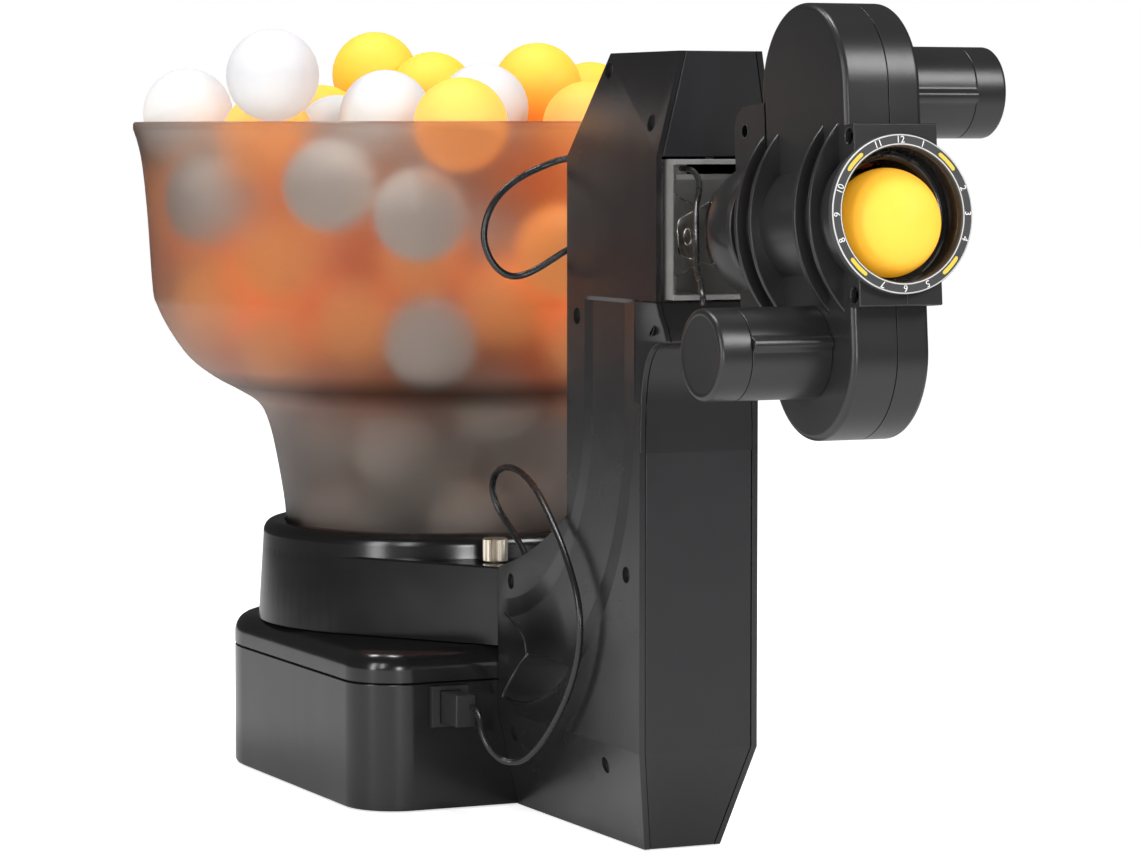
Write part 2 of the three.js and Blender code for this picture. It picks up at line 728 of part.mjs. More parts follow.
function makeFeedHousing() {
  const edge = [];
  for (let i = 0; i <= COLLAR_EDGE_STEPS; i += 1) {
    const turn = ((i / COLLAR_EDGE_STEPS) * Math.PI) / 2;
    const radius = COLLAR_TOP_RADIUS + (COLLAR_RADIUS - COLLAR_TOP_RADIUS) * Math.cos(turn);
    edge.push(at(radius, COLLAR_TOP - COLLAR_EDGE * (1 - Math.sin(turn))));
  }
  const collar = turnedZ([
    at(0, BASE_TOP + GAP),
    at(COLLAR_FOOT_RADIUS, BASE_TOP + GAP),
    ...edge,
    at(0, COLLAR_TOP),
  ]);
  const run = upZ(collarOutline(COLLAR_RADIUS, 0), BASE_TOP + GAP, NOSE_TOP, WIDE_ARC_STEPS);
  const thumbs = [-THUMB_SIDE, THUMB_SIDE].map((x) =>
    postZ(THUMB_STEM_RADIUS + GAP, x, -THUMB_FORWARD, NOSE_TOP - OVERRUN, NOSE_TOP + OVERRUN),
  );
  return cut(
    join(collar, run),
    postZ(PAN_RADIUS + PAN_WALL + GAP, 0, 0, 0, PAN_TOP + GAP, BOWL_STEPS),
    postZ(NECK_RADIUS + GAP, 0, 0, 0, COLLAR_TOP + OVERRUN, BOWL_STEPS),
    block(-CHUTE_PASS, CHUTE_PASS, -BASE_FRONT - OVERRUN, 0, 0, PAN_TOP + CHANNEL_WALL),
    ...thumbs,
  );
}

function makeTurntablePan() {
  const under = PAN_FLOOR - PAN_WALL;
  const outer = PAN_RADIUS + PAN_WALL;
  const pan = turnedZ([
    at(TABLE_SHAFT_RADIUS + GAP, under),
    at(outer, under),
    at(outer, PAN_TOP),
    at(PAN_LIP_RADIUS, PAN_TOP),
    at(PAN_LIP_RADIUS, PAN_TOP - PAN_WALL),
    at(PAN_RADIUS, PAN_TOP - PAN_WALL),
    at(PAN_RADIUS, PAN_FLOOR),
    at(TABLE_SHAFT_RADIUS + GAP, PAN_FLOOR),
  ]);
  const front = GAP - BEND_CENTRE_FORWARD;
  const chuteTop = PAN_TOP - PAN_WALL + CHANNEL_WALL;
  const chute = block(-CHUTE_OUTER, CHUTE_OUTER, front, -PAN_LIP_RADIUS, under, chuteTop);
  const reach = Math.sqrt(PAN_RADIUS ** 2 - CHUTE_INNER ** 2);
  const room = postZ(PAN_RADIUS, 0, 0, 0, COLLAR_TOP, BOWL_STEPS);
  const wayTop = PAN_TOP - PAN_WALL;
  return cut(
    join(pan, cut(chute, room)),
    block(-CHUTE_INNER, CHUTE_INNER, -BASE_FRONT - OVERRUN, OVERRUN - reach, PAN_FLOOR, wayTop),
  );
}

const TABLE_LOW = PAN_FLOOR + TABLE_RUNNING_GAP;

function makeTurntable() {
  const crown = TABLE_LOW + TABLE_HUB_HEIGHT;
  const hub = turnedZ([
    at(0, TABLE_LOW),
    at(TABLE_HUB_RADIUS, TABLE_LOW),
    at(TABLE_HUB_RADIUS, crown),
    at(TABLE_CROWN_RADIUS, crown + TABLE_CROWN_HEIGHT),
    at(0, crown + TABLE_CROWN_HEIGHT),
  ], ROUND_STEPS);
  const half = TABLE_ARM_THICKNESS / 2;
  const arms = [];
  for (let i = 0; i < TABLE_ARMS; i += 1) {
    const arm = block(0, TABLE_REACH, -half, half, TABLE_LOW, TABLE_LOW + TABLE_ARM_HEIGHT);
    arms.push(arm.rotate([0, 0, (i * FULL_TURN) / TABLE_ARMS]));
  }
  const shaftFoot = PAN_FLOOR - PAN_WALL - OVERRUN;
  return join(hub, ...arms, postZ(TABLE_SHAFT_RADIUS, 0, 0, shaftFoot, TABLE_LOW + PAN_WALL));
}

function makeFeedDrive(parent) {
  const top = PAN_FLOOR - PAN_WALL - GAP;
  const low = top - FEED_GEARBOX_HEIGHT;
  const shaftRoom = postZ(TABLE_SHAFT_RADIUS + GAP, 0, 0, top - OVERRUN - GAP, top + OVERRUN);
  const gearbox = cut(postZ(FEED_GEARBOX_RADIUS, 0, 0, low, top, ROUND_STEPS), shaftRoom);
  place(parent, 'feed_gearbox', gearbox, STEEL);
  const motor = postZ(FEED_MOTOR_RADIUS, 0, 0, FEED_MOTOR_FOOT, low - GAP, ROUND_STEPS);
  place(parent, 'feed_motor', motor, STEEL);
}

function makeHopper() {
  const outside = HOPPER_PROFILE.map(({ flare, height }) => at(NECK_RADIUS + flare, height));
  const inside = outside.map(({ x, y }) => at(x - HOPPER_WALL, y)).reverse();
  return turnedZ([
    at(NECK_RADIUS - HOPPER_WALL, NECK_BOTTOM),
    at(NECK_RADIUS, NECK_BOTTOM),
    ...outside,
    at(RIM_RADIUS, RIM_LOW),
    at(RIM_RADIUS, RIM_TOP),
    at(RIM_RADIUS - HOPPER_WALL, RIM_TOP),
    ...inside,
  ]);
}

function makeThumbScrew(x) {
  const shape = new THREE.Shape();
  for (let i = 0; i < THUMB_RIDGES * 2; i += 1) {
    const radius = THUMB_RADIUS - (i % 2 ? THUMB_RIDGE_DEPTH : 0);
    const turn = (i * Math.PI) / THUMB_RIDGES;
    const spot = [radius * Math.cos(turn), radius * Math.sin(turn)];
    if (i === 0) shape.moveTo(...spot);
    else shape.lineTo(...spot);
  }
  const low = NOSE_TOP + GAP;
  const head = upZ(shape, low, low + THUMB_HEIGHT).translate([x, -THUMB_FORWARD, 0]);
  const tip = NOSE_TOP - THUMB_STEM_LENGTH / 2;
  return join(head, postZ(THUMB_STEM_RADIUS, x, -THUMB_FORWARD, tip, low + THUMB_HEIGHT / 2));
}

function makeHeadSocket() {
  const border = SOCKET_BORDER;
  const face = -BASE_FRONT - SOCKET_PROUD;
  const highX = PLUG_LOW_X + PLUG_WIDTH;
  const top = PLUG_LOW + PLUG_HEIGHT;
  const frame = block(
    PLUG_LOW_X - border,
    highX + border,
    face,
    -BASE_FRONT - GAP,
    PLUG_LOW - border / 2,
    top + border / 2,
  );
  const shell = GAP + SOCKET_WALL;
  const rear = SOCKET_TAIL - BASE_FRONT;
  const tail = block(PLUG_LOW_X - shell, highX + shell, face, rear, PLUG_LOW - shell, top + shell);
  const well = block(
    PLUG_LOW_X - GAP,
    highX + GAP,
    face - OVERRUN,
    rear - SOCKET_WALL,
    PLUG_LOW - GAP,
    top + GAP,
  );
  return cut(join(frame, tail), well);
}

function makeJack(x) {
  const face = BASE_BACK + GAP;
  const flange = rodY(JACK_RADIUS + BASE_WALL / 2, x, JACK_HEIGHT, face, face + BASE_WALL / 2);
  const rear = BASE_BACK - BASE_WALL - JACK_DEPTH;
  const barrel = rodY(JACK_RADIUS, x, JACK_HEIGHT, rear, face + BASE_WALL / 2);
  const well = rodY(JACK_BORE, x, JACK_HEIGHT, BASE_BACK - JACK_DEPTH, BASE_BACK + OVERRUN);
  return cut(join(flange, barrel), well);
}

function makeControlBoard() {
  const low = TRAY_FLOOR + BOARD_LIFT + GAP;
  const y = BOARD_BACK;
  const board = block(
    -BOARD_LENGTH / 2 - POST_RADIUS,
    BOARD_LENGTH / 2 + POST_RADIUS,
    y - BOARD_WIDTH / 2,
    y + BOARD_WIDTH / 2,
    low,
    low + BOARD_THICKNESS,
  );
  const chips = [-BOARD_LENGTH / 4, 0, BOARD_LENGTH / 4].map((x) =>
    block(x - POST_RADIUS, x + POST_RADIUS, y - POST_RADIUS, y + POST_RADIUS, low, low + BOARD_LIFT),
  );
  return join(board, ...chips);
}

// Tower seen from the front, as a half width at each height
function towerFront(inset) {
  const widths = [
    [TOWER_FOOT_HALF_WIDTH, TOWER_UNDERSIDE - OVERRUN],
    [TOWER_FOOT_HALF_WIDTH, TOWER_UNDERSIDE],
    [TOWER_HALF_WIDTH, TOWER_BEND],
    [TOWER_HALF_WIDTH, TOWER_FOLD],
    [TOWER_TOP_HALF_WIDTH, TOWER_TOP],
    [TOWER_TOP_HALF_WIDTH, TOWER_TOP + OVERRUN],
  ];
  const right = widths.map(([half, height]) => [half - inset, height]);
  const left = widths.map(([half, height]) => [inset - half, height]).reverse();
  return outline([...right, ...left]);
}

// Tower seen from the side. The inset moves every edge inwards; the rear stays open.
function towerSide(inset) {
  const shape = new THREE.Shape();
  const back = -TOWER_BACK - inset;
  const lower = inset - COLUMN_FRONT;
  const window = inset - TOWER_FRONT;
  const rear = inset ? OVERRUN - TOWER_REAR : -TOWER_REAR;
  shape.moveTo(rear, TOWER_UNDERSIDE + inset);
  shape.lineTo(inset - TOWER_FOOT_FRONT, TOWER_UNDERSIDE + inset);
  shape.lineTo(lower, TOWER_BEND);
  shape.lineTo(lower, COVE_LOW);
  const chin = CHIN_BOTTOM + inset;
  shape.quadraticCurveTo(lower, chin, CHIN_LAND + window, chin);
  shape.lineTo(window, chin);
  shape.lineTo(window, TOWER_FOLD);
  shape.lineTo(inset - TOWER_TOP_FRONT, TOWER_TOP - inset);
  shape.lineTo(-TOWER_TOP_BACK - inset, TOWER_TOP - inset);
  shape.lineTo(back, TOWER_FOLD);
  shape.lineTo(back, ARM_TOP_FRONT_HEIGHT - inset);
  const sag = ARM_TOP_MIDDLE_HEIGHT - ARM_TOP_SAG - inset;
  shape.quadraticCurveTo(-ARM_TOP_MIDDLE - inset, sag, rear, NOSE_TOP - inset);
  return shape;
}

function towerSlab(inset) {
  return acrossY(towerFront(inset), -TOWER_TOP_FRONT - OVERRUN, OVERRUN - TOWER_REAR);
}

function towerSolid(inset) {
  const side = TOWER_HALF_WIDTH + OVERRUN;
  return acrossX(towerSide(inset), -side, side, WIDE_ARC_STEPS).intersect(towerSlab(inset));
}

// The region a piece of the tower takes, between two heights and two distances forward
function towerRegion(nearForward, farForward, low, high) {
  const side = TOWER_HALF_WIDTH + OVERRUN;
  return block(-side, side, -farForward, -nearForward, low, high);
}

const TOWER_WHOLE = towerSolid(0);
const TOWER_INSIDE = towerSolid(WALL);
const BETWEEN_SIDES = towerSlab(WALL + GAP);
const FAR = TOWER_TOP_FRONT + OVERRUN;
const HIGH = TOWER_TOP + OVERRUN;
const SKIN = TOWER_WHOLE.subtract(TOWER_INSIDE).intersect(BETWEEN_SIDES);
const CHIN_REGION = towerRegion(CHIN_REAR, FAR, COVE_LOW, WINDOW_FLOOR);

// The curved band along the ball channel: a quarter ring and a straight run above it
function channelBand(inner, outer, top) {
  const shape = new THREE.Shape();
  const y = -BEND_CENTRE_FORWARD;
  const z = BEND_CENTRE_HEIGHT;
  shape.moveTo(y, z - outer);
  shape.absarc(y, z, outer, (3 * Math.PI) / 2, Math.PI, true);
  shape.lineTo(y - outer, top);
  shape.lineTo(y - inner, top);
  shape.lineTo(y - inner, z);
  shape.absarc(y, z, inner, Math.PI, (3 * Math.PI) / 2, false);
  return shape;
}

function halfWidthAt(height) {
  if (height > TOWER_FOLD) {
    const share = (height - TOWER_FOLD) / (TOWER_TOP - TOWER_FOLD);
    return THREE.MathUtils.lerp(TOWER_HALF_WIDTH, TOWER_TOP_HALF_WIDTH, share);
  }
  if (height < TOWER_BEND) {
    const share = (height - TOWER_UNDERSIDE) / (TOWER_BEND - TOWER_UNDERSIDE);
    return THREE.MathUtils.lerp(TOWER_FOOT_HALF_WIDTH, TOWER_HALF_WIDTH, share);
  }
  return TOWER_HALF_WIDTH;
}

const SCREW_PLACES = [
  ...UPPER_SCREWS.map(({ setback, rise }) => ({
    forward: TOWER_FRONT - setback,
    height: TOWER_FOLD + rise,
  })),
  ...LOWER_SCREWS.map(({ reach, height }) => ({ forward: BASE_FRONT + reach, height })),
];

function makeSidePanel(side) {
  const low = side < 0 ? -TOWER_HALF_WIDTH - OVERRUN : 0;
  const high = side < 0 ? 0 : TOWER_HALF_WIDTH + OVERRUN;
  const half = block(low, high, -FAR, 0, 0, HIGH);
  const slab = TOWER_WHOLE.subtract(towerSlab(WALL)).intersect(half);
  const face = TOWER_HALF_WIDTH - BAND_RECESS;
  const bandLow = side < 0 ? -TOWER_HALF_WIDTH - OVERRUN : face;
  const bandHigh = side < 0 ? -face : TOWER_HALF_WIDTH + OVERRUN;
  const bandShape = channelBand(BEND_INNER, BEND_OUTER, BAND_TOP);
  const band = acrossX(bandShape, bandLow, bandHigh, WIDE_ARC_STEPS);
  const holes = SCREW_PLACES.map(({ forward, height }) => {
    const x = side * halfWidthAt(height);
    const depth = SCREW_HOLE_DEPTH;
    return rodX(SCREW_HEAD_RADIUS, -forward, height, x - depth, x + depth, SMALL_STEPS);
  });
  return cut(slab, band, CHIN_REGION, ...holes);
}

// The chin has its lower corners taken off by a slope that meets an upright facet
function chinCorner(side) {
  const out = TOWER_HALF_WIDTH + OVERRUN;
  const inX = TOWER_HALF_WIDTH - CHIN_FACET_INSET;
  const upright = outline([
    [side * TOWER_HALF_WIDTH, -CHIN_FACET_REAR],
    [side * inX, -TOWER_FRONT],
    [side * inX, -FAR],
    [side * out, -FAR],
    [side * out, -CHIN_FACET_REAR],
  ]);
  const slope = outline([
    [side * TOWER_HALF_WIDTH, WINDOW_FLOOR],
    [side * inX, CHIN_BOTTOM],
    [side * inX, COVE_LOW - OVERRUN],
    [side * out, COVE_LOW - OVERRUN],
    [side * out, WINDOW_FLOOR],
  ]);
  const facet = upZ(upright, COVE_LOW - OVERRUN, WINDOW_FLOOR);
  return facet.intersect(acrossY(slope, -FAR, OVERRUN - TOWER_REAR));
}

function makeChinCover() {
  const region = towerRegion(CHIN_REAR + GAP, FAR, COVE_LOW + GAP, WINDOW_FLOOR - GAP);
  const front = TOWER_WHOLE.intersect(region);
  const inner = TOWER_HALF_WIDTH - CHIN_FACET_INSET - WALL;
  const hollow = TOWER_INSIDE.intersect(
    block(-inner, inner, -FAR, OVERRUN - CHIN_REAR, COVE_LOW - OVERRUN, WINDOW_FLOOR - WALL - GAP),
  );
  const pivot = postZ(SWING_SHAFT_RADIUS + GAP, 0, -SWING_FORWARD, CHIN_BOTTOM + WALL, WINDOW_FLOOR);
  const screwZ = CHIN_BOTTOM + CHIN_SCREW_RISE;
  const screws = [-1, 1].map((side) => {
    const x = side * (TOWER_HALF_WIDTH - CHIN_FACET_INSET / 2);
    const depth = SCREW_HOLE_DEPTH;
    return rodX(SCREW_HEAD_RADIUS, CHIN_SCREW_SETBACK - TOWER_FRONT, screwZ, x - depth, x + depth);
  });
  return cut(front, hollow, pivot, chinCorner(-1), chinCorner(1), ...screws);
}

function makeTowerSkins(parent) {
  const floorTop = TOWER_UNDERSIDE + WALL;
  const floorFront = TOWER_FOOT_FRONT - WALL;
  const floor = SKIN.intersect(towerRegion(0, floorFront, 0, floorTop));
  const padRoom = postZ(PAD_RADIUS + GAP, 0, -PAD_FORWARD, 0, TOWER_UNDERSIDE + FOOT_SINK);
  place(parent, 'tower_floor', cut(floor, padRoom), SATIN_BLACK);
  const lower = SKIN.intersect(towerRegion(floorFront + GAP, FAR, 0, COVE_LOW));
  place(parent, 'lower_front_panel', lower, SATIN_BLACK);
  const upper = SKIN.intersect(towerRegion(TOWER_TOP_BACK, FAR, TOWER_FOLD + GAP, HIGH));
  place(parent, 'top_front_cover', upper, SATIN_BLACK);
  const back = SKIN.intersect(towerRegion(0, TOWER_TOP_BACK - GAP, ARM_TOP_FRONT_HEIGHT, HIGH));
  place(parent, 'back_panel', cut(back, ...cableHoles()), SATIN_BLACK);
  const armTop = ARM_TOP_FRONT_HEIGHT - GAP;
  const arm = SKIN.intersect(towerRegion(0, TOWER_BACK + WALL, floorTop + GAP, armTop));
  place(parent, 'arm_cover', cut(arm, armCableHole()), SATIN_BLACK);
}

function cableHoles() {
  return [CABLE_A_PATH[0], CABLE_A_PATH.at(-1)].map(([x, , z]) =>
    rodY(CABLE_RADIUS + GAP, x, z, -TOWER_BACK - OVERRUN, OVERRUN - TOWER_BACK),
  );
}

function armCableHole() {
  const [x, y, z] = CABLE_B_PATH.at(-1);
  return postZ(CABLE_RADIUS + GAP, x, y, z - OVERRUN, z + OVERRUN);
}

// The ball channel in the tower
function makeFeedBend() {
  const wall = CHANNEL_WALL;
  const outside = new THREE.Shape();
  const y = -BEND_CENTRE_FORWARD;
  const z = BEND_CENTRE_HEIGHT;
  outside.absarc(y, z, BEND_OUTER + wall, (3 * Math.PI) / 2, Math.PI, true);
  outside.absarc(y, z, BEND_INNER - wall, Math.PI, (3 * Math.PI) / 2, false);
  const inside = new THREE.Shape();
  inside.moveTo(y + OVERRUN, z - BEND_OUTER);
  inside.lineTo(y, z - BEND_OUTER);
  inside.absarc(y, z, BEND_OUTER, (3 * Math.PI) / 2, Math.PI, true);
  inside.lineTo(y - BEND_OUTER, z + OVERRUN);
  inside.lineTo(y - BEND_INNER, z + OVERRUN);
  inside.absarc(y, z, BEND_INNER, Math.PI, (3 * Math.PI) / 2, false);
  inside.lineTo(y + OVERRUN, z - BEND_INNER);
  return cut(
    acrossX(outside, -CHUTE_OUTER, CHUTE_OUTER, WIDE_ARC_STEPS),
    acrossX(inside, -CHUTE_INNER, CHUTE_INNER, WIDE_ARC_STEPS),
  );
}

function makeRiser() {
  const y = -BEND_CENTRE_FORWARD;
  const low = BEND_CENTRE_HEIGHT + GAP;
  const front = y - BEND_OUTER;
  const back = y - BEND_INNER;
  const wall = CHANNEL_WALL;
  return cut(
    block(-CHUTE_OUTER, CHUTE_OUTER, front - wall, back + wall, low, RISER_TOP),
    block(-CHUTE_INNER, CHUTE_INNER, front, back, low - OVERRUN, RISER_TOP + OVERRUN),
  );
}

// The guide that turns the balls forward at the top of the riser
function makeTopGuide() {
  const y = -BEND_CENTRE_FORWARD - BEND_OUTER;
  const z = GUIDE_CENTRE_HEIGHT;
  const low = RISER_TOP + GAP;
  const radius = CHANNEL_WIDTH;
  const wall = CHANNEL_WALL;
  const shape = new THREE.Shape();
  shape.moveTo(y + radius + wall, low);
  shape.lineTo(y + radius + wall, z);
  shape.absarc(y, z, radius + wall, 0, Math.PI / 2, false);
  shape.lineTo(y, z + radius);
  shape.absarc(y, z, radius, Math.PI / 2, 0, true);
  shape.lineTo(y + radius, low);
  const back = acrossX(shape, -CHUTE_OUTER, CHUTE_OUTER, WIDE_ARC_STEPS);
  const fill = new THREE.Shape();
  fill.moveTo(y, low);
  fill.lineTo(y + radius + wall, low);
  fill.lineTo(y + radius + wall, z);
  fill.absarc(y, z, radius + wall, 0, Math.PI / 2, false);
  const cheeks = [
    acrossX(fill, -CHUTE_OUTER, -CHUTE_INNER, WIDE_ARC_STEPS),
    acrossX(fill, CHUTE_INNER, CHUTE_OUTER, WIDE_ARC_STEPS),
  ];
  return join(back, ...cheeks);
}

// Swing drive above the window and the clear yoke that it turns
const DECK_LOW = TOWER_FOLD + GAP;
const DECK_HIGH = DECK_LOW + SWING_DECK_THICKNESS;

function makeSwingDrive(parent) {
  const shaftRoom = postZ(SWING_SHAFT_RADIUS + GAP, 0, -SWING_FORWARD, TOWER_FOLD, HIGH);
  const inner = towerSolid(WALL + GAP);
  const front = TOWER_FRONT - WALL - GAP;
  const deck = inner.intersect(towerRegion(SWING_DECK_REAR, front, DECK_LOW, DECK_HIGH));
  place(parent, 'swing_deck', cut(deck, shaftRoom), SATIN_BLACK);
  const centre = SWING_GEARBOX_BACK - SWING_FORWARD;
  const low = DECK_HIGH + GAP;
  const middle = low + SWING_GEARBOX_HEIGHT;
  const roomTop = DECK_HIGH + SWING_SHAFT_RISE + GAP;
  const shaftEnd = postZ(SWING_SHAFT_RADIUS + GAP, 0, -SWING_FORWARD, TOWER_FOLD, roomTop);
  const gearbox = cut(postZ(SWING_GEARBOX_RADIUS, 0, centre, low, middle, ROUND_STEPS), shaftEnd);
  place(parent, 'swing_gearbox', gearbox, STEEL);
  const motorLow = middle + GAP;
  const motorTop = motorLow + SWING_MOTOR_HEIGHT;
  const motor = postZ(SWING_MOTOR_RADIUS, 0, centre, motorLow, motorTop, ROUND_STEPS);
  place(parent, 'swing_motor', motor, STEEL);
}

function makeYoke() {
  const low = WINDOW_FLOOR + YOKE_GAP;
  const high = TOWER_FOLD - YOKE_GAP;
  const outer = YOKE_INNER + YOKE_WALL;
  const plan = rounded([
    [-outer, -YOKE_FRONT, 0],
    [outer, -YOKE_FRONT, 0],
    [outer, -YOKE_REAR, YOKE_CORNER],
    [-outer, -YOKE_REAR, YOKE_CORNER],
  ]);
  const ear = rounded([
    [-SWING_FORWARD, PIVOT_HEIGHT - EAR_ROOT_HALF_HEIGHT, 0],
    [-YOKE_FRONT, PIVOT_HEIGHT - EAR_ROOT_HALF_HEIGHT, 0],
    [-EAR_FRONT, PIVOT_HEIGHT - EAR_HALF_HEIGHT, EAR_CORNER],
    [-EAR_FRONT, PIVOT_HEIGHT + EAR_HALF_HEIGHT, EAR_CORNER],
    [-YOKE_FRONT, PIVOT_HEIGHT + EAR_ROOT_HALF_HEIGHT, 0],
    [-SWING_FORWARD, PIVOT_HEIGHT + EAR_ROOT_HALF_HEIGHT, 0],
  ]);
  const roomLow = low + YOKE_PLATE;
  const roomHigh = high - YOKE_PLATE;
  const ball = block(-YOKE_INNER, YOKE_INNER, -EAR_FRONT - OVERRUN, 0, roomLow, roomHigh);
  const behind = block(-FAR, FAR, -SWING_FORWARD, 0, roomLow, roomHigh);
  const frame = cut(join(upZ(plan, low, high), acrossX(ear, -outer, outer)), ball, behind);
  const reach = outer + OVERRUN;
  const bores = rodX(PIVOT_RADIUS + GAP, -PIVOT_FORWARD, PIVOT_HEIGHT, -reach, reach);
  const [clipX, clipY, clipZ] = CABLE_C_UPPER_PATH[0];
  const clip = block(
    clipX - CLIP_WIDTH / 2,
    clipX + CLIP_WIDTH / 2,
    clipY + GAP,
    clipY + GAP + CLIP_DEPTH,
    clipZ - CLIP_HEIGHT / 2,
    roomHigh + YOKE_PLATE / 2,
  );
  const lowRoot = low + YOKE_PLATE / 2;
  const highRoot = high - YOKE_PLATE / 2;
  const lowPin = postZ(SWING_SHAFT_RADIUS, 0, -SWING_FORWARD, WINDOW_FLOOR - WALL, lowRoot);
  const shaftTop = DECK_HIGH + SWING_SHAFT_RISE;
  const highPin = postZ(SWING_SHAFT_RADIUS, 0, -SWING_FORWARD, highRoot, shaftTop);
  return join(cut(frame, bores), clip, lowPin, highPin);
}

// Shooting head, drawn forward along -Y from the tilt pivot
function ringY(outer, inner, near, far) {
  return turnedY([at(inner, near), at(outer, near), at(outer, far), at(inner, far)]);
}

function sideRod(side, radius, place, height, near, far, steps = ROUND_STEPS) {
  const ends = [side * near, side * far];
  return rodX(radius, -place, height, Math.min(...ends), Math.max(...ends), steps);
}

const ARM_INNER = YOKE_INNER + YOKE_WALL + GAP;
const ARM_OUTER = ARM_INNER + ARM_THICKNESS;

function makeThroatCup() {
  const rearTurn = Math.asin((CUP_REAR - CUP_CENTRE) / CUP_RADIUS);
  const frontTurn = Math.asin((CUP_FRONT - CUP_CENTRE) / CUP_RADIUS);
  const profile = [];
  for (let i = 0; i <= CUP_STEPS; i += 1) {
    const turn = THREE.MathUtils.lerp(rearTurn, frontTurn, i / CUP_STEPS);
    profile.push(at(CUP_RADIUS * Math.cos(turn), CUP_CENTRE + CUP_RADIUS * Math.sin(turn)));
  }
  const cup = turnedY([at(BORE_RADIUS, CUP_REAR), ...profile, at(BORE_RADIUS, CUP_FRONT)]);
  const flat = ARM_INNER - GAP;
  const front = -ARM_FRONT - GAP;
  const half = ARM_HALF_HEIGHT + GAP;
  return cut(
    cup,
    block(-CUP_RADIUS, -flat, front, 0, -half, half),
    block(flat, CUP_RADIUS, front, 0, -half, half),
  );
}

function makeTiltArm(side) {
  const plate = rounded([
    [ARM_REAR, -ARM_REAR, ARM_CORNER],
    [ARM_REAR, ARM_REAR, ARM_CORNER],
    [-ARM_FRONT, ARM_HALF_HEIGHT, ARM_CORNER],
    [-ARM_FRONT, -ARM_HALF_HEIGHT, ARM_CORNER],
  ]);
  const ends = [side * ARM_INNER, side * ARM_OUTER];
  const arm = acrossX(plate, Math.min(...ends), Math.max(...ends));
  return join(arm, sideRod(side, PIVOT_RADIUS, 0, 0, YOKE_INNER, ARM_INNER + ARM_THICKNESS / 2));
}

// A fin round the barrel: two arcs that meet in a point above and below
function fin(place) {
  const centre = FIN_ARC - FIN_REACH;
  const half = Math.acos(centre / FIN_ARC);
  const shape = new THREE.Shape();
  shape.absarc(-centre, 0, FIN_ARC, -half, half, false);
  shape.absarc(centre, 0, FIN_ARC, Math.PI - half, Math.PI + half, false);
  return acrossY(shape, -place - FIN_THICKNESS / 2, FIN_THICKNESS / 2 - place, WIDE_ARC_STEPS);
}

function wheelHousing(side) {
  const z = side * WHEEL_OFFSET;
  const radius = WHEEL_RADIUS + WHEEL_GAP + HOUSING_WALL;
  const shape = new THREE.Shape();
  shape.moveTo(radius - WHEEL_PLACE, 0);
  shape.lineTo(radius - WHEEL_PLACE, z);
  shape.absarc(-WHEEL_PLACE, z, radius, 0, side * Math.PI, side < 0);
  shape.lineTo(-radius - WHEEL_PLACE, 0);
  const half = HOUSING_HALF_WIDTH;
  const geometry = softened(shape, -half, half, HOUSING_EDGE, HOUSING_EDGE_STEPS, WIDE_ARC_STEPS);
  geometry.applyMatrix4(new THREE.Matrix4().makeBasis(AXIS_Y, AXIS_Z, AXIS_X));
  return solidOf(geometry);
}

// A rounded lug that joins the two halves behind a wheel
function lug(side) {
  const shape = new THREE.Shape();
  const z = side * LUG_OFFSET;
  shape.moveTo(-WHEEL_PLACE, 0);
  shape.lineTo(-WHEEL_PLACE, z + side * LUG_RADIUS);
  shape.lineTo(-LUG_PLACE, z + side * LUG_RADIUS);
  shape.absarc(-LUG_PLACE, z, LUG_RADIUS, (side * Math.PI) / 2, 0, side > 0);
  shape.lineTo(LUG_RADIUS - LUG_PLACE, 0);
  return acrossX(shape, -HOUSING_HALF_WIDTH, HOUSING_HALF_WIDTH);
}

function boltRoom(place, offset, face, length) {
  return join(
    sideRod(-1, BOLT_HEAD_RADIUS + GAP, place, offset, face - BOLT_SINK, face + OVERRUN, SMALL_STEPS),
    sideRod(-1, BOLT_RADIUS + GAP, place, offset, face - length - GAP, face, SMALL_STEPS),
  );
}

function makeBolt(place, offset, face, length) {
  const seat = face - BOLT_SINK + GAP;
  const top = seat + BOLT_HEAD_LENGTH;
  return cut(
    join(
      sideRod(-1, BOLT_HEAD_RADIUS, place, offset, seat, top, SMALL_STEPS),
      sideRod(-1, BOLT_RADIUS, place, offset, face - length, seat + BOLT_HEAD_LENGTH / 2, SMALL_STEPS),
    ),
    sideRod(-1, BOLT_HEX_RADIUS, place, offset, top - BOLT_HEX_DEPTH, top + OVERRUN, HEX_SIDES),
  );
}

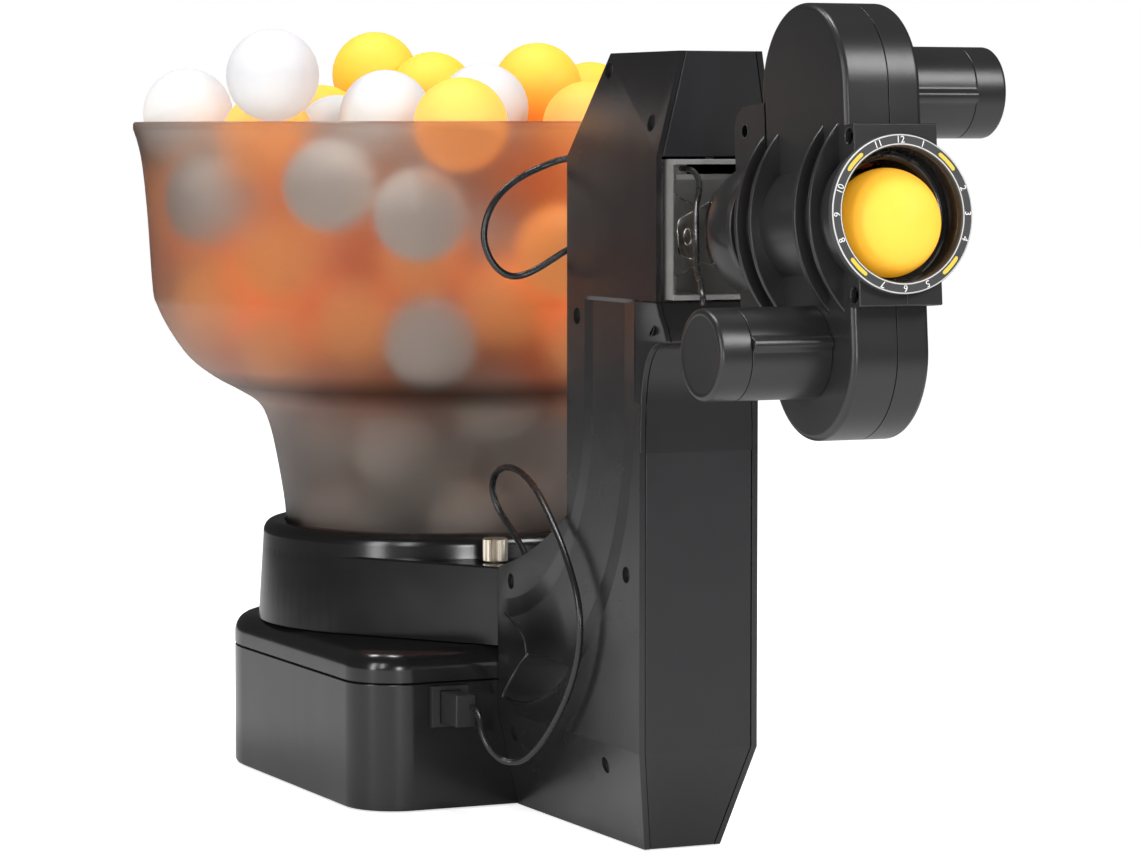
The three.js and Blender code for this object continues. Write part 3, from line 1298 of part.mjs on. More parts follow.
function makeHeadShell() {
  const barrelRear = CUP_FRONT + GAP;
  const barrelFront = NOZZLE_REAR - GAP;
  const solid = join(
    ringY(BARREL_RADIUS, BORE_RADIUS, barrelRear, barrelFront),
    ringY(BARREL_COLLAR_RADIUS, BORE_RADIUS, barrelRear, barrelRear + BARREL_COLLAR_LENGTH),
    ...FIN_PLACES.map(fin),
    wheelHousing(1),
    wheelHousing(-1),
    lug(1),
    lug(-1),
  );
  const inside = HOUSING_HALF_WIDTH - HOUSING_SIDE_WALL;
  const outside = HOUSING_HALF_WIDTH + OVERRUN;
  const cavities = [-1, 1].map((side) => {
    const z = side * WHEEL_OFFSET;
    const end = inside + AXLE_SEAT + GAP;
    const axle = sideRod(side, AXLE_RADIUS + GAP, WHEEL_PLACE, z, -end, outside, SMALL_STEPS);
    return join(rodX(WHEEL_RADIUS + WHEEL_GAP, -WHEEL_PLACE, z, -inside, inside, ROUND_STEPS), axle);
  });
  return cut(
    solid,
    rodY(BORE_RADIUS, 0, 0, -NOZZLE_FRONT, 0, ROUND_STEPS),
    rodY(CUP_SWEEP_RADIUS, 0, 0, -barrelRear, 0, ROUND_STEPS),
    ...cavities,
    boltRoom(LUG_PLACE, LUG_OFFSET, HOUSING_HALF_WIDTH, LUG_BOLT_LENGTH),
    boltRoom(LUG_PLACE, -LUG_OFFSET, HOUSING_HALF_WIDTH, LUG_BOLT_LENGTH),
  );
}

function makeNozzleBlock() {
  const half = CLAMP_HALF_WIDTH;
  const solid = join(
    rodY(NOZZLE_RADIUS, 0, 0, -NOZZLE_FRONT, -NOZZLE_REAR, ROUND_STEPS),
    block(-half, half, -NOZZLE_FRONT, -NOZZLE_REAR, -CLAMP_REACH, CLAMP_REACH),
  );
  return cut(
    solid,
    rodY(NOZZLE_BORE, 0, 0, -NOZZLE_FRONT - OVERRUN, OVERRUN - NOZZLE_REAR, ROUND_STEPS),
    boltRoom(CLAMP_BOLT_PLACE, CLAMP_BOLT_OFFSET, half, CLAMP_BOLT_LENGTH),
    boltRoom(CLAMP_BOLT_PLACE, -CLAMP_BOLT_OFFSET, half, CLAMP_BOLT_LENGTH),
  );
}

function wireRib(side, offset, radius, near, far) {
  const turn = THREE.MathUtils.degToRad(WIRE_RIB_TURN);
  const reach = MOTOR_SLEEVE_RADIUS - WIRE_RIB_RADIUS / 4;
  const place = WHEEL_PLACE + reach * Math.cos(turn);
  return sideRod(side, radius, place, offset - side * reach * Math.sin(turn), near, far, SMALL_STEPS);
}

function makeMotorSet(parent, name, side) {
  const z = side * WHEEL_OFFSET;
  const face = HOUSING_HALF_WIDTH + GAP;
  const can = sideRod(side, MOTOR_RADIUS, WHEEL_PLACE, z, face, MOTOR_CAN_END);
  place(parent, `${name}_motor`, can, STEEL);
  const bore = sideRod(side, MOTOR_RADIUS + GAP, WHEEL_PLACE, z, 0, MOTOR_CAN_END + GAP);
  const sleeve = join(
    sideRod(side, MOTOR_SLEEVE_RADIUS, WHEEL_PLACE, z, face, MOTOR_SLEEVE_END),
    wireRib(side, z, WIRE_RIB_RADIUS, face, MOTOR_SLEEVE_END),
  );
  place(parent, `${name}_motor_sleeve`, cut(sleeve, bore), SATIN_BLACK);
  const rear = MOTOR_SLEEVE_END + GAP;
  const edge = MOTOR_CAP_EDGE;
  const cap = turnedZ([
    at(0, MOTOR_CAN_END + GAP),
    at(MOTOR_RADIUS + GAP, MOTOR_CAN_END + GAP),
    at(MOTOR_RADIUS + GAP, rear),
    at(MOTOR_SLEEVE_RADIUS, rear),
    at(MOTOR_SLEEVE_RADIUS, MOTOR_END - edge),
    at(MOTOR_SLEEVE_RADIUS - edge, MOTOR_END),
    at(0, MOTOR_END),
  ], ROUND_STEPS);
  const turned = cap.rotate([0, side * QUARTER_TURN, 0]).translate([0, -WHEEL_PLACE, z]);
  const notch = wireRib(side, z, WIRE_NOTCH_RADIUS, rear - GAP, rear + WIRE_NOTCH_DEPTH);
  place(parent, `${name}_motor_cap`, cut(turned, cut(notch, bore)), SATIN_BLACK);
}

function makeWheel(parent, name, side) {
  const z = side * WHEEL_OFFSET;
  const half = WHEEL_HALF_WIDTH;
  const inner = WHEEL_RADIUS - TYRE_DEPTH;
  const inside = HOUSING_HALF_WIDTH - HOUSING_SIDE_WALL;
  const hub = join(
    sideRod(side, inner - GAP, WHEEL_PLACE, z, -half, half),
    sideRod(side, AXLE_RADIUS, WHEEL_PLACE, z, -inside - AXLE_SEAT, HOUSING_HALF_WIDTH, SMALL_STEPS),
  );
  place(parent, `${name}_wheel_hub`, hub, PLAIN_WHITE);
  const tyre = cut(
    sideRod(side, WHEEL_RADIUS, WHEEL_PLACE, z, -half, half),
    sideRod(side, inner, WHEEL_PLACE, z, -half - OVERRUN, half + OVERRUN),
  );
  place(parent, `${name}_wheel_tyre`, tyre, TYRE_RED);
}

function makeHead(parent) {
  place(parent, 'throat_cup', makeThroatCup(), SATIN_BLACK);
  place(parent, 'tilt_arm_left', makeTiltArm(-1), CLEAR);
  place(parent, 'tilt_arm_right', makeTiltArm(1), CLEAR);
  const shell = makeHeadShell();
  const far = WHEEL_OFFSET + CLAMP_REACH + OVERRUN + OVERRUN;
  const seam = GAP / 2;
  const leftHalf = block(-far, HEAD_SEAM - seam, -NOZZLE_FRONT, 0, -far, far);
  const rightHalf = block(HEAD_SEAM + seam, far, -NOZZLE_FRONT, 0, -far, far);
  place(parent, 'head_half_left', shell.intersect(leftHalf), SATIN_BLACK);
  place(parent, 'head_half_right', shell.intersect(rightHalf), SATIN_BLACK);
  place(parent, 'nozzle_block', makeNozzleBlock(), SATIN_BLACK);
  const ring = ringY(RING_RADIUS, NOZZLE_BORE, NOZZLE_FRONT + GAP, RING_FRONT);
  place(parent, 'dial_ring', ring, DIAL_GREY);
  [['upper', 1], ['lower', -1]].forEach(([name, side]) => {
    makeMotorSet(parent, name, side);
    makeWheel(parent, name, side);
    const clampZ = side * CLAMP_BOLT_OFFSET;
    const clamp = makeBolt(CLAMP_BOLT_PLACE, clampZ, CLAMP_HALF_WIDTH, CLAMP_BOLT_LENGTH);
    place(parent, `clamp_bolt_${name}`, clamp, STEEL);
    const lugZ = side * LUG_OFFSET;
    const lugBolt = makeBolt(LUG_PLACE, lugZ, HOUSING_HALF_WIDTH, LUG_BOLT_LENGTH);
    place(parent, `lug_bolt_${name}`, lugBolt, STEEL);
  });
}

// Cables
function makeCable(route, radius) {
  const points = route.map(([x, y, z]) => new THREE.Vector3(x, y, z));
  const path = new THREE.CatmullRomCurve3(points, false, 'centripetal');
  const round = new THREE.Shape();
  for (let i = 0; i < CABLE_SIDES; i += 1) {
    const turn = (i * Math.PI * 2) / CABLE_SIDES;
    const spot = [radius * Math.cos(turn), radius * Math.sin(turn)];
    if (i === 0) round.moveTo(...spot);
    else round.lineTo(...spot);
  }
  const steps = Math.round(path.getLength() / CABLE_STEP);
  return solidOf(new THREE.ExtrudeGeometry(round, { extrudePath: path, steps }));
}

function makePlug() {
  return block(
    PLUG_LOW_X,
    PLUG_LOW_X + PLUG_WIDTH,
    -PLUG_FRONT,
    SOCKET_TAIL - SOCKET_WALL - GAP - BASE_FRONT,
    PLUG_LOW,
    PLUG_LOW + PLUG_HEIGHT,
  );
}

// Putting the robot together
place(group, 'base_tray', makeBaseTray(), GLOSS_BLACK);
place(group, 'base_cover', makeBaseCover(), GLOSS_BLACK);
makeFeet(group);
place(group, 'feed_housing', makeFeedHousing(), GLOSS_BLACK);
place(group, 'turntable_pan', makeTurntablePan(), PLAIN_WHITE);
place(group, 'turntable', makeTurntable(), PLAIN_WHITE);
makeFeedDrive(group);
place(group, 'hopper', makeHopper(), SMOKE);
place(group, 'thumb_screw_left', makeThumbScrew(-THUMB_SIDE), NICKEL);
place(group, 'thumb_screw_right', makeThumbScrew(THUMB_SIDE), NICKEL);
place(group, 'head_socket', makeHeadSocket(), SATIN_BLACK);
place(group, 'power_inlet', makeJack(-JACK_SIDE), SATIN_BLACK);
place(group, 'remote_jack', makeJack(JACK_SIDE), SATIN_BLACK);
place(group, 'control_board', makeControlBoard(), BOARD_GREEN);
place(group, 'side_panel_left', makeSidePanel(-1), SATIN_BLACK);
place(group, 'side_panel_right', makeSidePanel(1), SATIN_BLACK);
place(group, 'chin_cover', makeChinCover(), SATIN_BLACK);
makeTowerSkins(group);
const towerPad = postZ(PAD_RADIUS, 0, -PAD_FORWARD, 0, TOWER_UNDERSIDE + FOOT_SINK - GAP);
place(group, 'tower_pad', towerPad, RUBBER_BLACK);
place(group, 'feed_bend', makeFeedBend(), PLAIN_WHITE);
place(group, 'feed_riser', makeRiser(), PLAIN_WHITE);
place(group, 'top_guide', makeTopGuide(), PLAIN_WHITE);
makeSwingDrive(group);
place(group, 'yoke', makeYoke(), CLEAR);
place(group, 'cable_a', makeCable(CABLE_A_PATH, CABLE_RADIUS), CABLE_BLACK);
place(group, 'cable_b', makeCable(CABLE_B_PATH, CABLE_RADIUS), CABLE_BLACK);
place(group, 'plug_b', makePlug(), CABLE_BLACK);
place(group, 'cable_c_upper', makeCable(CABLE_C_UPPER_PATH, HEAD_CABLE_RADIUS), CABLE_BLACK);
place(group, 'cable_c_lower', makeCable(CABLE_C_LOWER_PATH, HEAD_CABLE_RADIUS), CABLE_BLACK);

const head = new THREE.Group();
head.position.set(0, -PIVOT_FORWARD, PIVOT_HEIGHT);
head.rotation.x = -THREE.MathUtils.degToRad(HEAD_TILT);
makeHead(head);
group.add(head);

export default group;
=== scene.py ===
"""A table tennis robot: a smoky hopper of balls, a slim black tower and a two-wheel shooting head."""

import math

import bmesh
import bpy
import numpy as np
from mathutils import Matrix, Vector


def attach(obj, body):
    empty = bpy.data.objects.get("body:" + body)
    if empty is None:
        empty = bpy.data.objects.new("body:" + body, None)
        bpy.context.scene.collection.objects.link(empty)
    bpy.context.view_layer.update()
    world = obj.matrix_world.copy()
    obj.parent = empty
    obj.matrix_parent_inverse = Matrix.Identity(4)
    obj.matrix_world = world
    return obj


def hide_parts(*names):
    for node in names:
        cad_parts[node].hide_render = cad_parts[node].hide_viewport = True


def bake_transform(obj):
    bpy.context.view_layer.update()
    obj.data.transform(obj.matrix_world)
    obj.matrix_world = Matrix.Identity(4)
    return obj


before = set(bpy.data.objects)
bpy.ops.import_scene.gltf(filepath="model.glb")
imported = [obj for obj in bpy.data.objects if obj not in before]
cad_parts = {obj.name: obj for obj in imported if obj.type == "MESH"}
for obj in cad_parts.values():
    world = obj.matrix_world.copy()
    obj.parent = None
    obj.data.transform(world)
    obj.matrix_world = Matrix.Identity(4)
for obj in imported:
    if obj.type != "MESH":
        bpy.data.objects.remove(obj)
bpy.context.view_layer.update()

# Sizes in metres, the same as the solids'
MM = 0.001
BALL_RADIUS = 20 * MM
TOWER_HALF_WIDTH = 26.3 * MM
TOWER_RECESS_HALF_WIDTH = 25.3 * MM
NOSE_END = -116 * MM
BAND_CENTRE_FORWARD = 117 * MM
BAND_CENTRE_HEIGHT = 178 * MM
WHEEL_FORWARD = 86 * MM
WHEEL_HEIGHT = 48 * MM
HOUSING_HALF_WIDTH = 16 * MM
HOUSING_RADIUS = 32.8 * MM
HOUSING_FOOT_RADIUS = 22.5 * MM
BARREL_RADIUS = 25 * MM
DIAL_FACE = 130.3 * MM
DIAL_PRINT_RADIUS = 26.8 * MM
HEAD_TILT = math.radians(4.8)
PIVOT = np.array([0.0, -291.0, 248.5]) * MM
FORWARD = np.array([0.0, -math.cos(HEAD_TILT), math.sin(HEAD_TILT)])
UPWARD = np.array([0.0, math.sin(HEAD_TILT), math.cos(HEAD_TILT)])
SIDEWAYS = np.array([1.0, 0.0, 0.0])
HEAD_SEAM = 2.3 * MM


# Shader maths
class Flow:
    """A socket, or a plain number, with operators that add the Math nodes they need."""

    def __init__(self, tree, socket):
        self.tree = tree
        self.socket = socket

    def node(self, kind, settings=(), **values):
        """Adds one node, sets its settings first and then the values or links of its sockets."""
        made = self.tree.nodes.new("ShaderNode" + kind)
        for name, value in dict(settings).items():
            setattr(made, name, value)
        for name, value in values.items():
            key = int(name[1:]) if name[0] == "_" else name.replace("_", " ")
            socket = made.inputs[key]
            if isinstance(value, Flow):
                self.tree.links.new(value.socket, socket)
            else:
                socket.default_value = value
        return made

    def out(self, made, name=0):
        return Flow(self.tree, made.outputs[name])

    def into(self, made, name):
        self.tree.links.new(self.socket, made.inputs[name])

    def maths(self, operation, *values, clamp=False):
        settings = {"operation": operation, "use_clamp": clamp}
        named = {f"_{i}": value for i, value in enumerate(values)}
        return self.out(self.node("Math", settings, **named))

    def __add__(self, other):
        return self.maths("ADD", self, other)

    def __sub__(self, other):
        return self.maths("SUBTRACT", self, other)

    def __mul__(self, other):
        return self.maths("MULTIPLY", self, other)

    def __truediv__(self, other):
        return self.maths("DIVIDE", self, other)

    def __radd__(self, other):
        return self.maths("ADD", other, self)

    def __rsub__(self, other):
        return self.maths("SUBTRACT", other, self)

    def __rmul__(self, other):
        return self.maths("MULTIPLY", other, self)

    def __abs__(self):
        return self.maths("ABSOLUTE", self)

    def power(self, exponent):
        return self.maths("POWER", self, exponent)

    def most(self, other):
        return self.maths("MAXIMUM", self, other)

    def least(self, other):
        return self.maths("MINIMUM", self, other)

    def apart(self, other):
        """The distance from the point where both this and the other are 0."""
        return (self * self + other * other).power(0.5)

    def over(self, edge, blur):
        """0 below the edge and 1 above it, with a soft step of the given width."""
        return self.maths("ADD", self.maths("DIVIDE", self - edge, blur), 0.5, clamp=True)

    def band(self, middle, half, blur):
        """1 within half a width of the middle and 0 outside it."""
        return 1 - abs(self - middle).over(half, blur)

    def dot(self, direction):
        made = self.node("VectorMath", {"operation": "DOT_PRODUCT"}, _0=self, _1=tuple(direction))
        return self.out(made, "Value")


def finish_of(name):
    """A new material with its Principled node, its place in space and its tree."""
    material = bpy.data.materials.new(name)
    material.use_nodes = True
    tree = material.node_tree
    shader = tree.nodes["Principled BSDF"]
    coordinates = tree.nodes.new("ShaderNodeTexCoord")
    return material, shader, Flow(tree, coordinates.outputs["Object"])


def noise(place, scale, detail=2.0, roughness=0.5):
    """Soft blotches between 0 and 1, scale to the metre."""
    made = place.node("TexNoise", {}, Vector=place, Scale=scale, Detail=detail, Roughness=roughness)
    return place.out(made, 0)


def mixed(place, share, first, second):
    """A colour between two colours, by a share from 0 to 1."""
    first, second = (c if isinstance(c, Flow) else (*c, 1) for c in (first, second))
    return place.out(place.node("Mix", {"data_type": "RGBA"}, _0=share, _6=first, _7=second), 2)


def bumped(place, height, distance):
    """The normal of a surface that is raised by the height times the distance."""
    return place.out(place.node("Bump", {}, Height=height, Distance=distance, Strength=1.0), "Normal")


def feed(place, shader, **values):
    """Links or sets the Principled node's sockets."""
    for name, value in values.items():
        socket = shader.inputs[name.replace("_", " ")]
        if isinstance(value, Flow):
            value.into(shader, socket.name)
        elif socket.type == "RGBA":
            socket.default_value = (*value, 1)
        else:
            socket.default_value = value


def to_surface(place, made):
    """Makes a shader node the one that its material shows."""
    place.out(made).into(place.tree.nodes["Material Output"], "Surface")


def moulded_black(name, dark, light, roughness, spread, grain, ripple, relief=None, shine=0.5):
    """Black plastic: a colour that drifts a little, a fine moulded grain and a long soft ripple. A relief
    gives the height of moulded forms, and painted shade that darkens them."""
    material, shader, place = finish_of(name)
    height = grain * noise(place, 2600, 2, 0.6) + ripple * noise(place, 30, 1)
    tone = mixed(place, noise(place, 18, 3), dark, light)
    if relief:
        raised, shade = relief(place)
        height = height + raised
        # Painted shade: the relief's dark share turns the tone near black.
        tone = mixed(place, shade, tone, (0.002, 0.002, 0.002))
    feed(
        place,
        shader,
        Base_Color=tone,
        Roughness=roughness + spread * (noise(place, 60, 4) - 0.5),
        Normal=bumped(place, height, 1.0),
        Specular_IOR_Level=shine,
    )
    return material


def panel_relief_and_shade(place):
    """The side panels' forms: a sunk band over the ball channel, which is a quarter ring about a middle
    and a straight run above it, and a round hollow near the base whose upper half gets painted shade."""
    ahead = place.dot((0.0, -1.0, 0.0))
    high = place.dot((0.0, 0.0, 1.0))
    forward = ahead - BAND_CENTRE_FORWARD
    away = forward.apart((high - BAND_CENTRE_HEIGHT).least(0.0))
    band = away.over(91.5 * MM, 8 * MM) * (1 - away.over(130 * MM, 9 * MM))
    band = band * (1 - high.over(222 * MM, 1.6 * MM)) * forward.over(6 * MM, 10 * MM)
    across = ahead - 150 * MM
    above = high - 74 * MM
    share = (across * across + above * above) / (38 * MM * 38 * MM)
    hollow = (1 - share).most(0.0).power(2.0)
    # Height of the band and the hollow, and painted shade on the hollow's upper half.
    return -0.0007 * band - 0.0028 * hollow, 0.8 * hollow * above.over(0.0, 12 * MM)


def smoky_plastic():
    """The hopper: brown-grey plastic that blurs what is behind it, with a band of painted shade where the
    bowl slopes into its neck.
    """
    material, shader, place = finish_of("smoky_frosted")
    high = place.dot((0.0, 0.0, 1.0))
    tone = mixed(place, noise(place, 25, 2), (0.50, 0.455, 0.43), (0.55, 0.50, 0.475))
    # Painted shade: a dark band round the bowl where it slopes into the neck.
    neck_band_shade = 0.9 * high.band(176 * MM, 4 * MM, 8 * MM)
    feed(
        place,
        shader,
        Base_Color=mixed(place, neck_band_shade, tone, (0.12, 0.09, 0.08)),
        Roughness=0.46 + 0.06 * (noise(place, 90, 3) - 0.5),
        Transmission_Weight=1.0,
        IOR=1.3,
        Normal=bumped(place, noise(place, 900, 2), 0.00004),
    )
    return material


def clear_plastic():
    """Polished clear plastic with a faint waviness."""
    material, shader, place = finish_of("clear_polished")
    feed(
        place,
        shader,
        Base_Color=(0.93, 0.93, 0.92),
        Roughness=0.06 + 0.05 * noise(place, 140, 3),
        Transmission_Weight=1.0,
        IOR=1.45,
        Normal=bumped(place, noise(place, 160, 2), 0.00015),
    )
    return material


def clear_with_painted_edge_light():
    """The yoke: clear plates with painted light on their outer rims, a pale clouded grey mixed in where light
    would leave the plastic.
    The pale share is the band of the side walls and the rims of the two plates."""
    material, shader, place = finish_of("clear_painted_edge_light")
    feed(
        place,
        shader,
        Base_Color=(0.9, 0.9, 0.89),
        Roughness=0.08 + 0.05 * noise(place, 140, 3),
        Transmission_Weight=1.0,
        IOR=1.45,
        Normal=bumped(place, noise(place, 160, 2), 0.00015),
    )
    ahead = place.dot((0.0, -1.0, 0.0))
    high = place.dot((0.0, 0.0, 1.0))
    walls = ahead.band(271.5 * MM, 5 * MM, 1.5 * MM)
    plates = high.over(276.1 * MM, 0.3 * MM) + (1 - high.over(225.5 * MM, 0.3 * MM))
    pale = walls.most(plates.least(1.0))
    cloud = noise(place, 90, 3)
    # Painted light: a pale grey surface on the rims in place of the light that leaves the clear plastic
    # there.
    rim = place.node(
        "BsdfPrincipled", {}, Base_Color=mixed(place, cloud, (0.16, 0.155, 0.15), (0.34, 0.335, 0.33)),
        Roughness=0.35, Normal=bumped(place, cloud, 0.0002),
    )
    to_surface(place, place.node("MixShader", {}, _0=0.82 * pale, _1=place.out(shader), _2=place.out(rim)))
    return material


def ball_shell(name, deep, bright, glow, top_painted_light):
    """Matte celluloid with a faint cloud and a very fine tooth. The balls against the wall get a painted glow
    in place of the light that comes through them, and those on top, and the ball in the nozzle, get a lighter
    colour and a glow of painted light."""
    material, shader, place = finish_of(name)
    high = place.dot((0.0, 0.0, 1.0)) + 0.02 * (noise(place, 40, 2) - 0.5)
    x = place.dot((1.0, 0.0, 0.0))
    y = place.dot((0.0, 1.0, 0.0))
    free = (-1 * y).over(320 * MM, 2 * MM)
    # Painted light: the balls on top and the one in the nozzle get a lighter colour and a glow.
    top = high.over(302 * MM, 26 * MM).most(free)
    # Painted glow for the balls against the wall, falling to little in the middle of the load.
    near = x.apart(y).over(96 * MM, 52 * MM)
    inner = mixed(place, near, tuple(c * 0.12 for c in glow), glow)
    feed(
        place,
        shader,
        Base_Color=mixed(place, top, deep, bright),
        Roughness=0.62,
        Subsurface_Weight=0.35,
        Subsurface_Radius=(0.02, 0.012, 0.006),
        Subsurface_Scale=0.35,
        Emission_Color=mixed(place, top, inner, top_painted_light),
        Emission_Strength=1.0,
        Normal=bumped(place, noise(place, 1500, 2), 0.00003),
    )
    return material


def plated(name, colour, roughness):
    """Metal plate with faint turned lines and soft blotches."""
    material, shader, place = finish_of(name)
    feed(
        place,
        shader,
        Base_Color=mixed(place, noise(place, 300, 3), colour, tuple(c * 0.8 for c in colour)),
        Metallic=1.0,
        Roughness=roughness + 0.1 * (noise(place, 500, 4) - 0.5),
        Normal=bumped(place, noise(place, 2000, 3), 0.00003),
    )
    return material


def plain_plastic(name, dark, light, roughness, grain=0.00003, shine=0.5):
    """Moulded plastic or rubber in two near tones with a fine grain."""
    material, shader, place = finish_of(name)
    feed(
        place,
        shader,
        Base_Color=mixed(place, noise(place, 60, 4), dark, light),
        Roughness=roughness + 0.08 * (noise(place, 200, 3) - 0.5),
        Normal=bumped(place, noise(place, 2200, 3), grain),
        Specular_IOR_Level=shine,
    )
    return material


def head_black():
    """Satin black with the thin groove where the head's two halves meet, and a glossier nozzle bore."""
    material, shader, place = finish_of("satin_head")
    across = place.dot(SIDEWAYS)
    groove = across.band(HEAD_SEAM, 0.12 * MM, 0.1 * MM)
    grain = 0.00003 * noise(place, 2600, 2, 0.6) + 0.00025 * noise(place, 30, 1)
    tone = mixed(place, noise(place, 18, 3), (0.014, 0.0138, 0.0145), (0.019, 0.0185, 0.0195))
    upright = place.dot(UPWARD) - float(PIVOT @ UPWARD)
    along = place.dot(FORWARD) - float(PIVOT @ FORWARD)
    bore = (1 - across.apart(upright).over(24.7 * MM, 0.2 * MM)) * along.over(92 * MM, 1 * MM)
    feed(
        place,
        shader,
        Base_Color=mixed(place, groove, tone, (0.003, 0.003, 0.003)),
        Roughness=0.32 + 0.08 * (noise(place, 60, 4) - 0.5) - 0.2 * bore,
        Normal=bumped(place, grain - 0.0004 * groove, 1.0),
    )
    return material


def dial_print():
    """The ring: satin dark grey with a printed pale line at its outer and its inner edge."""
    material, shader, place = finish_of("dial_print")
    high = place.dot(UPWARD) - float(PIVOT @ UPWARD)
    across = place.dot(SIDEWAYS)
    away = across.apart(high)
    face = place.dot(FORWARD) - float(PIVOT @ FORWARD)
    lines = away.band(28.6 * MM, 0.24 * MM, 0.12 * MM) + away.band(25.25 * MM, 0.22 * MM, 0.12 * MM)
    lines = lines * face.over(DIAL_FACE - 0.3 * MM, 0.15 * MM)
    tone = mixed(place, noise(place, 120, 3), (0.035, 0.036, 0.038), (0.045, 0.046, 0.048))
    feed(
        place,
        shader,
        Base_Color=mixed(place, lines, tone, (0.55, 0.55, 0.54)),
        Roughness=0.42 + 0.05 * noise(place, 300, 3),
        Normal=bumped(place, noise(place, 2400, 2), 0.00002),
    )
    return material


def cable_jacket():
    """Smooth black vinyl with a slight unevenness."""
    material, shader, place = finish_of("cable_jacket")
    feed(
        place,
        shader,
        Base_Color=mixed(place, noise(place, 90, 2), (0.008, 0.008, 0.009), (0.013, 0.013, 0.014)),
        Roughness=0.27 + 0.08 * (noise(place, 160, 3) - 0.5),
        Normal=bumped(place, noise(place, 500, 2), 0.00004),
    )
    return material


# Meshes worked out as grids of points
def arc(centre, radius, start, end, steps):
    """Points on a circle about a centre, from one angle in degrees to another, both ends included."""
    turn = np.radians(np.linspace(start, end, steps + 1))
    return np.stack([centre[0] + radius * np.cos(turn), centre[1] + radius * np.sin(turn)], 1)


def smooth_line(points, steps):
    """A Catmull-Rom line through the points: each stretch is a cubic whose ends lean on the neighbours."""
    points = np.asarray(points, float)
    padded = np.concatenate([points[:1] * 2 - points[1:2], points, points[-1:] * 2 - points[-2:-1]])
    share = np.linspace(0, 1, steps, endpoint=False)[None, :, None]
    a, b, c, d = (padded[i : len(padded) - 3 + i][:, None, :] for i in range(4))
    line = 0.5 * (
        2 * b + (c - a) * share + (2 * a - 5 * b + 4 * c - d) * share**2 + (3 * b - a - 3 * c + d) * share**3
    )
    return np.concatenate([line.reshape(-1, points.shape[1]), points[-1:]])


class Shell:
    """Surfaces of two parameters that become one mesh."""

    def __init__(self):
        self.points = []
        self.faces = []
        self.total = 0

    def grid(self, points, ring=False, loop=False, keep=None):
        """points[i, j] is a place. ring joins the last column to the first, and loop the last row to the
        first. keep is a mask of the cells that stay."""
        rows, columns = points.shape[:2]
        index = self.total + np.arange(rows * columns).reshape(rows, columns)
        if ring:
            index = np.concatenate([index, index[:, :1]], 1)
        if loop:
            index = np.concatenate([index, index[:1]], 0)
        cells = np.stack([index[:-1, :-1], index[:-1, 1:], index[1:, 1:], index[1:, :-1]], -1)
        if keep is not None:
            cells = cells[keep]
        self.faces.extend(cells.reshape(-1, 4).tolist())
        self.points.append(points.reshape(-1, 3))
        self.total += rows * columns
        return self

    def lid(self, ring):
        """Closes a ring of points with a fan to its middle."""
        count = len(ring)
        index = self.total + np.arange(count)
        middle = np.full(count, self.total + count)
        self.faces.extend(np.stack([index, np.roll(index, -1), middle], 1).tolist())
        self.points.append(np.concatenate([ring, ring.mean(0, keepdims=True)]))
        self.total += count + 1
        return self

    def mesh(self, name):
        """One mesh of all the surfaces, with seams and poles closed and faces turned outwards."""
        data = bpy.data.meshes.new(name)
        data.from_pydata(np.concatenate(self.points).tolist(), [], self.faces)
        work = bmesh.new()
        work.from_mesh(data)
        bmesh.ops.remove_doubles(work, verts=work.verts, dist=2e-6)
        bmesh.ops.dissolve_degenerate(work, edges=work.edges, dist=1e-7)
        bmesh.ops.recalc_face_normals(work, faces=work.faces)
        work.to_mesh(data)
        work.free()
        return data


def smoothed(data, sharp):
    """Smooth shading that breaks at edges sharper than an angle in degrees."""
    data.polygons.foreach_set("use_smooth", [True] * len(data.polygons))
    data.set_sharp_from_angle(angle=math.radians(sharp))


def piece(name, shape, finish, body, stands_for=(), sharp=32, edge=0.0):
    """Makes a shell or a mesh an object of the robot: its finish, its body and what it stands
    for. Where the body is (first, second, start, end), the mesh is only baked in place and joins neither
    body."""
    data = shape.mesh(name) if isinstance(shape, Shell) else shape
    smoothed(data, sharp)
    made = bpy.data.objects.new(name, data)
    bpy.context.scene.collection.objects.link(made)
    data.materials.clear()
    data.materials.append(finish)
    if edge:
        bevel = made.modifiers.new("edge", "BEVEL")
        bevel.width = edge
        bevel.segments = 2
        bevel.limit_method = "ANGLE"
        bevel.angle_limit = math.radians(40)
        bevel.harden_normals = True
    even = made.modifiers.new("even", "WEIGHTED_NORMAL")
    even.keep_sharp = True
    if isinstance(body, str):
        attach(made, body)
    else:
        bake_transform(made)
    if stands_for:
        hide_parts(*stands_for)
    return made


def walled(made, thickness):
    """Gives an open surface a wall on its inner side."""
    wall = made.modifiers.new("wall", "SOLIDIFY")
    wall.thickness = thickness
    wall.offset = -1


def turned(profile, steps=96, at=(0.0, 0.0), closed=True):
    """A lathe shape about an upright axis: each (radius, height) goes round in a circle."""
    turn = np.linspace(0, 2 * np.pi, steps, endpoint=False)
    radius, height = np.asarray(profile, float).T
    x = at[0] + radius[:, None] * np.cos(turn)
    y = at[1] + radius[:, None] * np.sin(turn)
    points = np.stack([x, y, np.broadcast_to(height[:, None], x.shape)], -1)
    return Shell().grid(points, ring=True, loop=closed)


def aimed(sideways, forward, height):
    """Places given across, along and above the nozzle axis from the tilt pivot."""
    sideways, forward, height = np.broadcast_arrays(sideways, forward, height)
    return (
        PIVOT
        + sideways[..., None] * SIDEWAYS
        + forward[..., None] * FORWARD
        + height[..., None] * UPWARD
    )


def aimed_lathe(profile, steps=96, closed=True):
    """A lathe shape about the nozzle axis: each (radius, forward) goes round in a circle."""
    turn = np.linspace(0, 2 * np.pi, steps, endpoint=False)
    radius, forward = np.asarray(profile, float).T
    points = aimed(radius[:, None] * np.cos(turn), forward[:, None], radius[:, None] * np.sin(turn))
    return Shell().grid(points, ring=True, loop=closed)


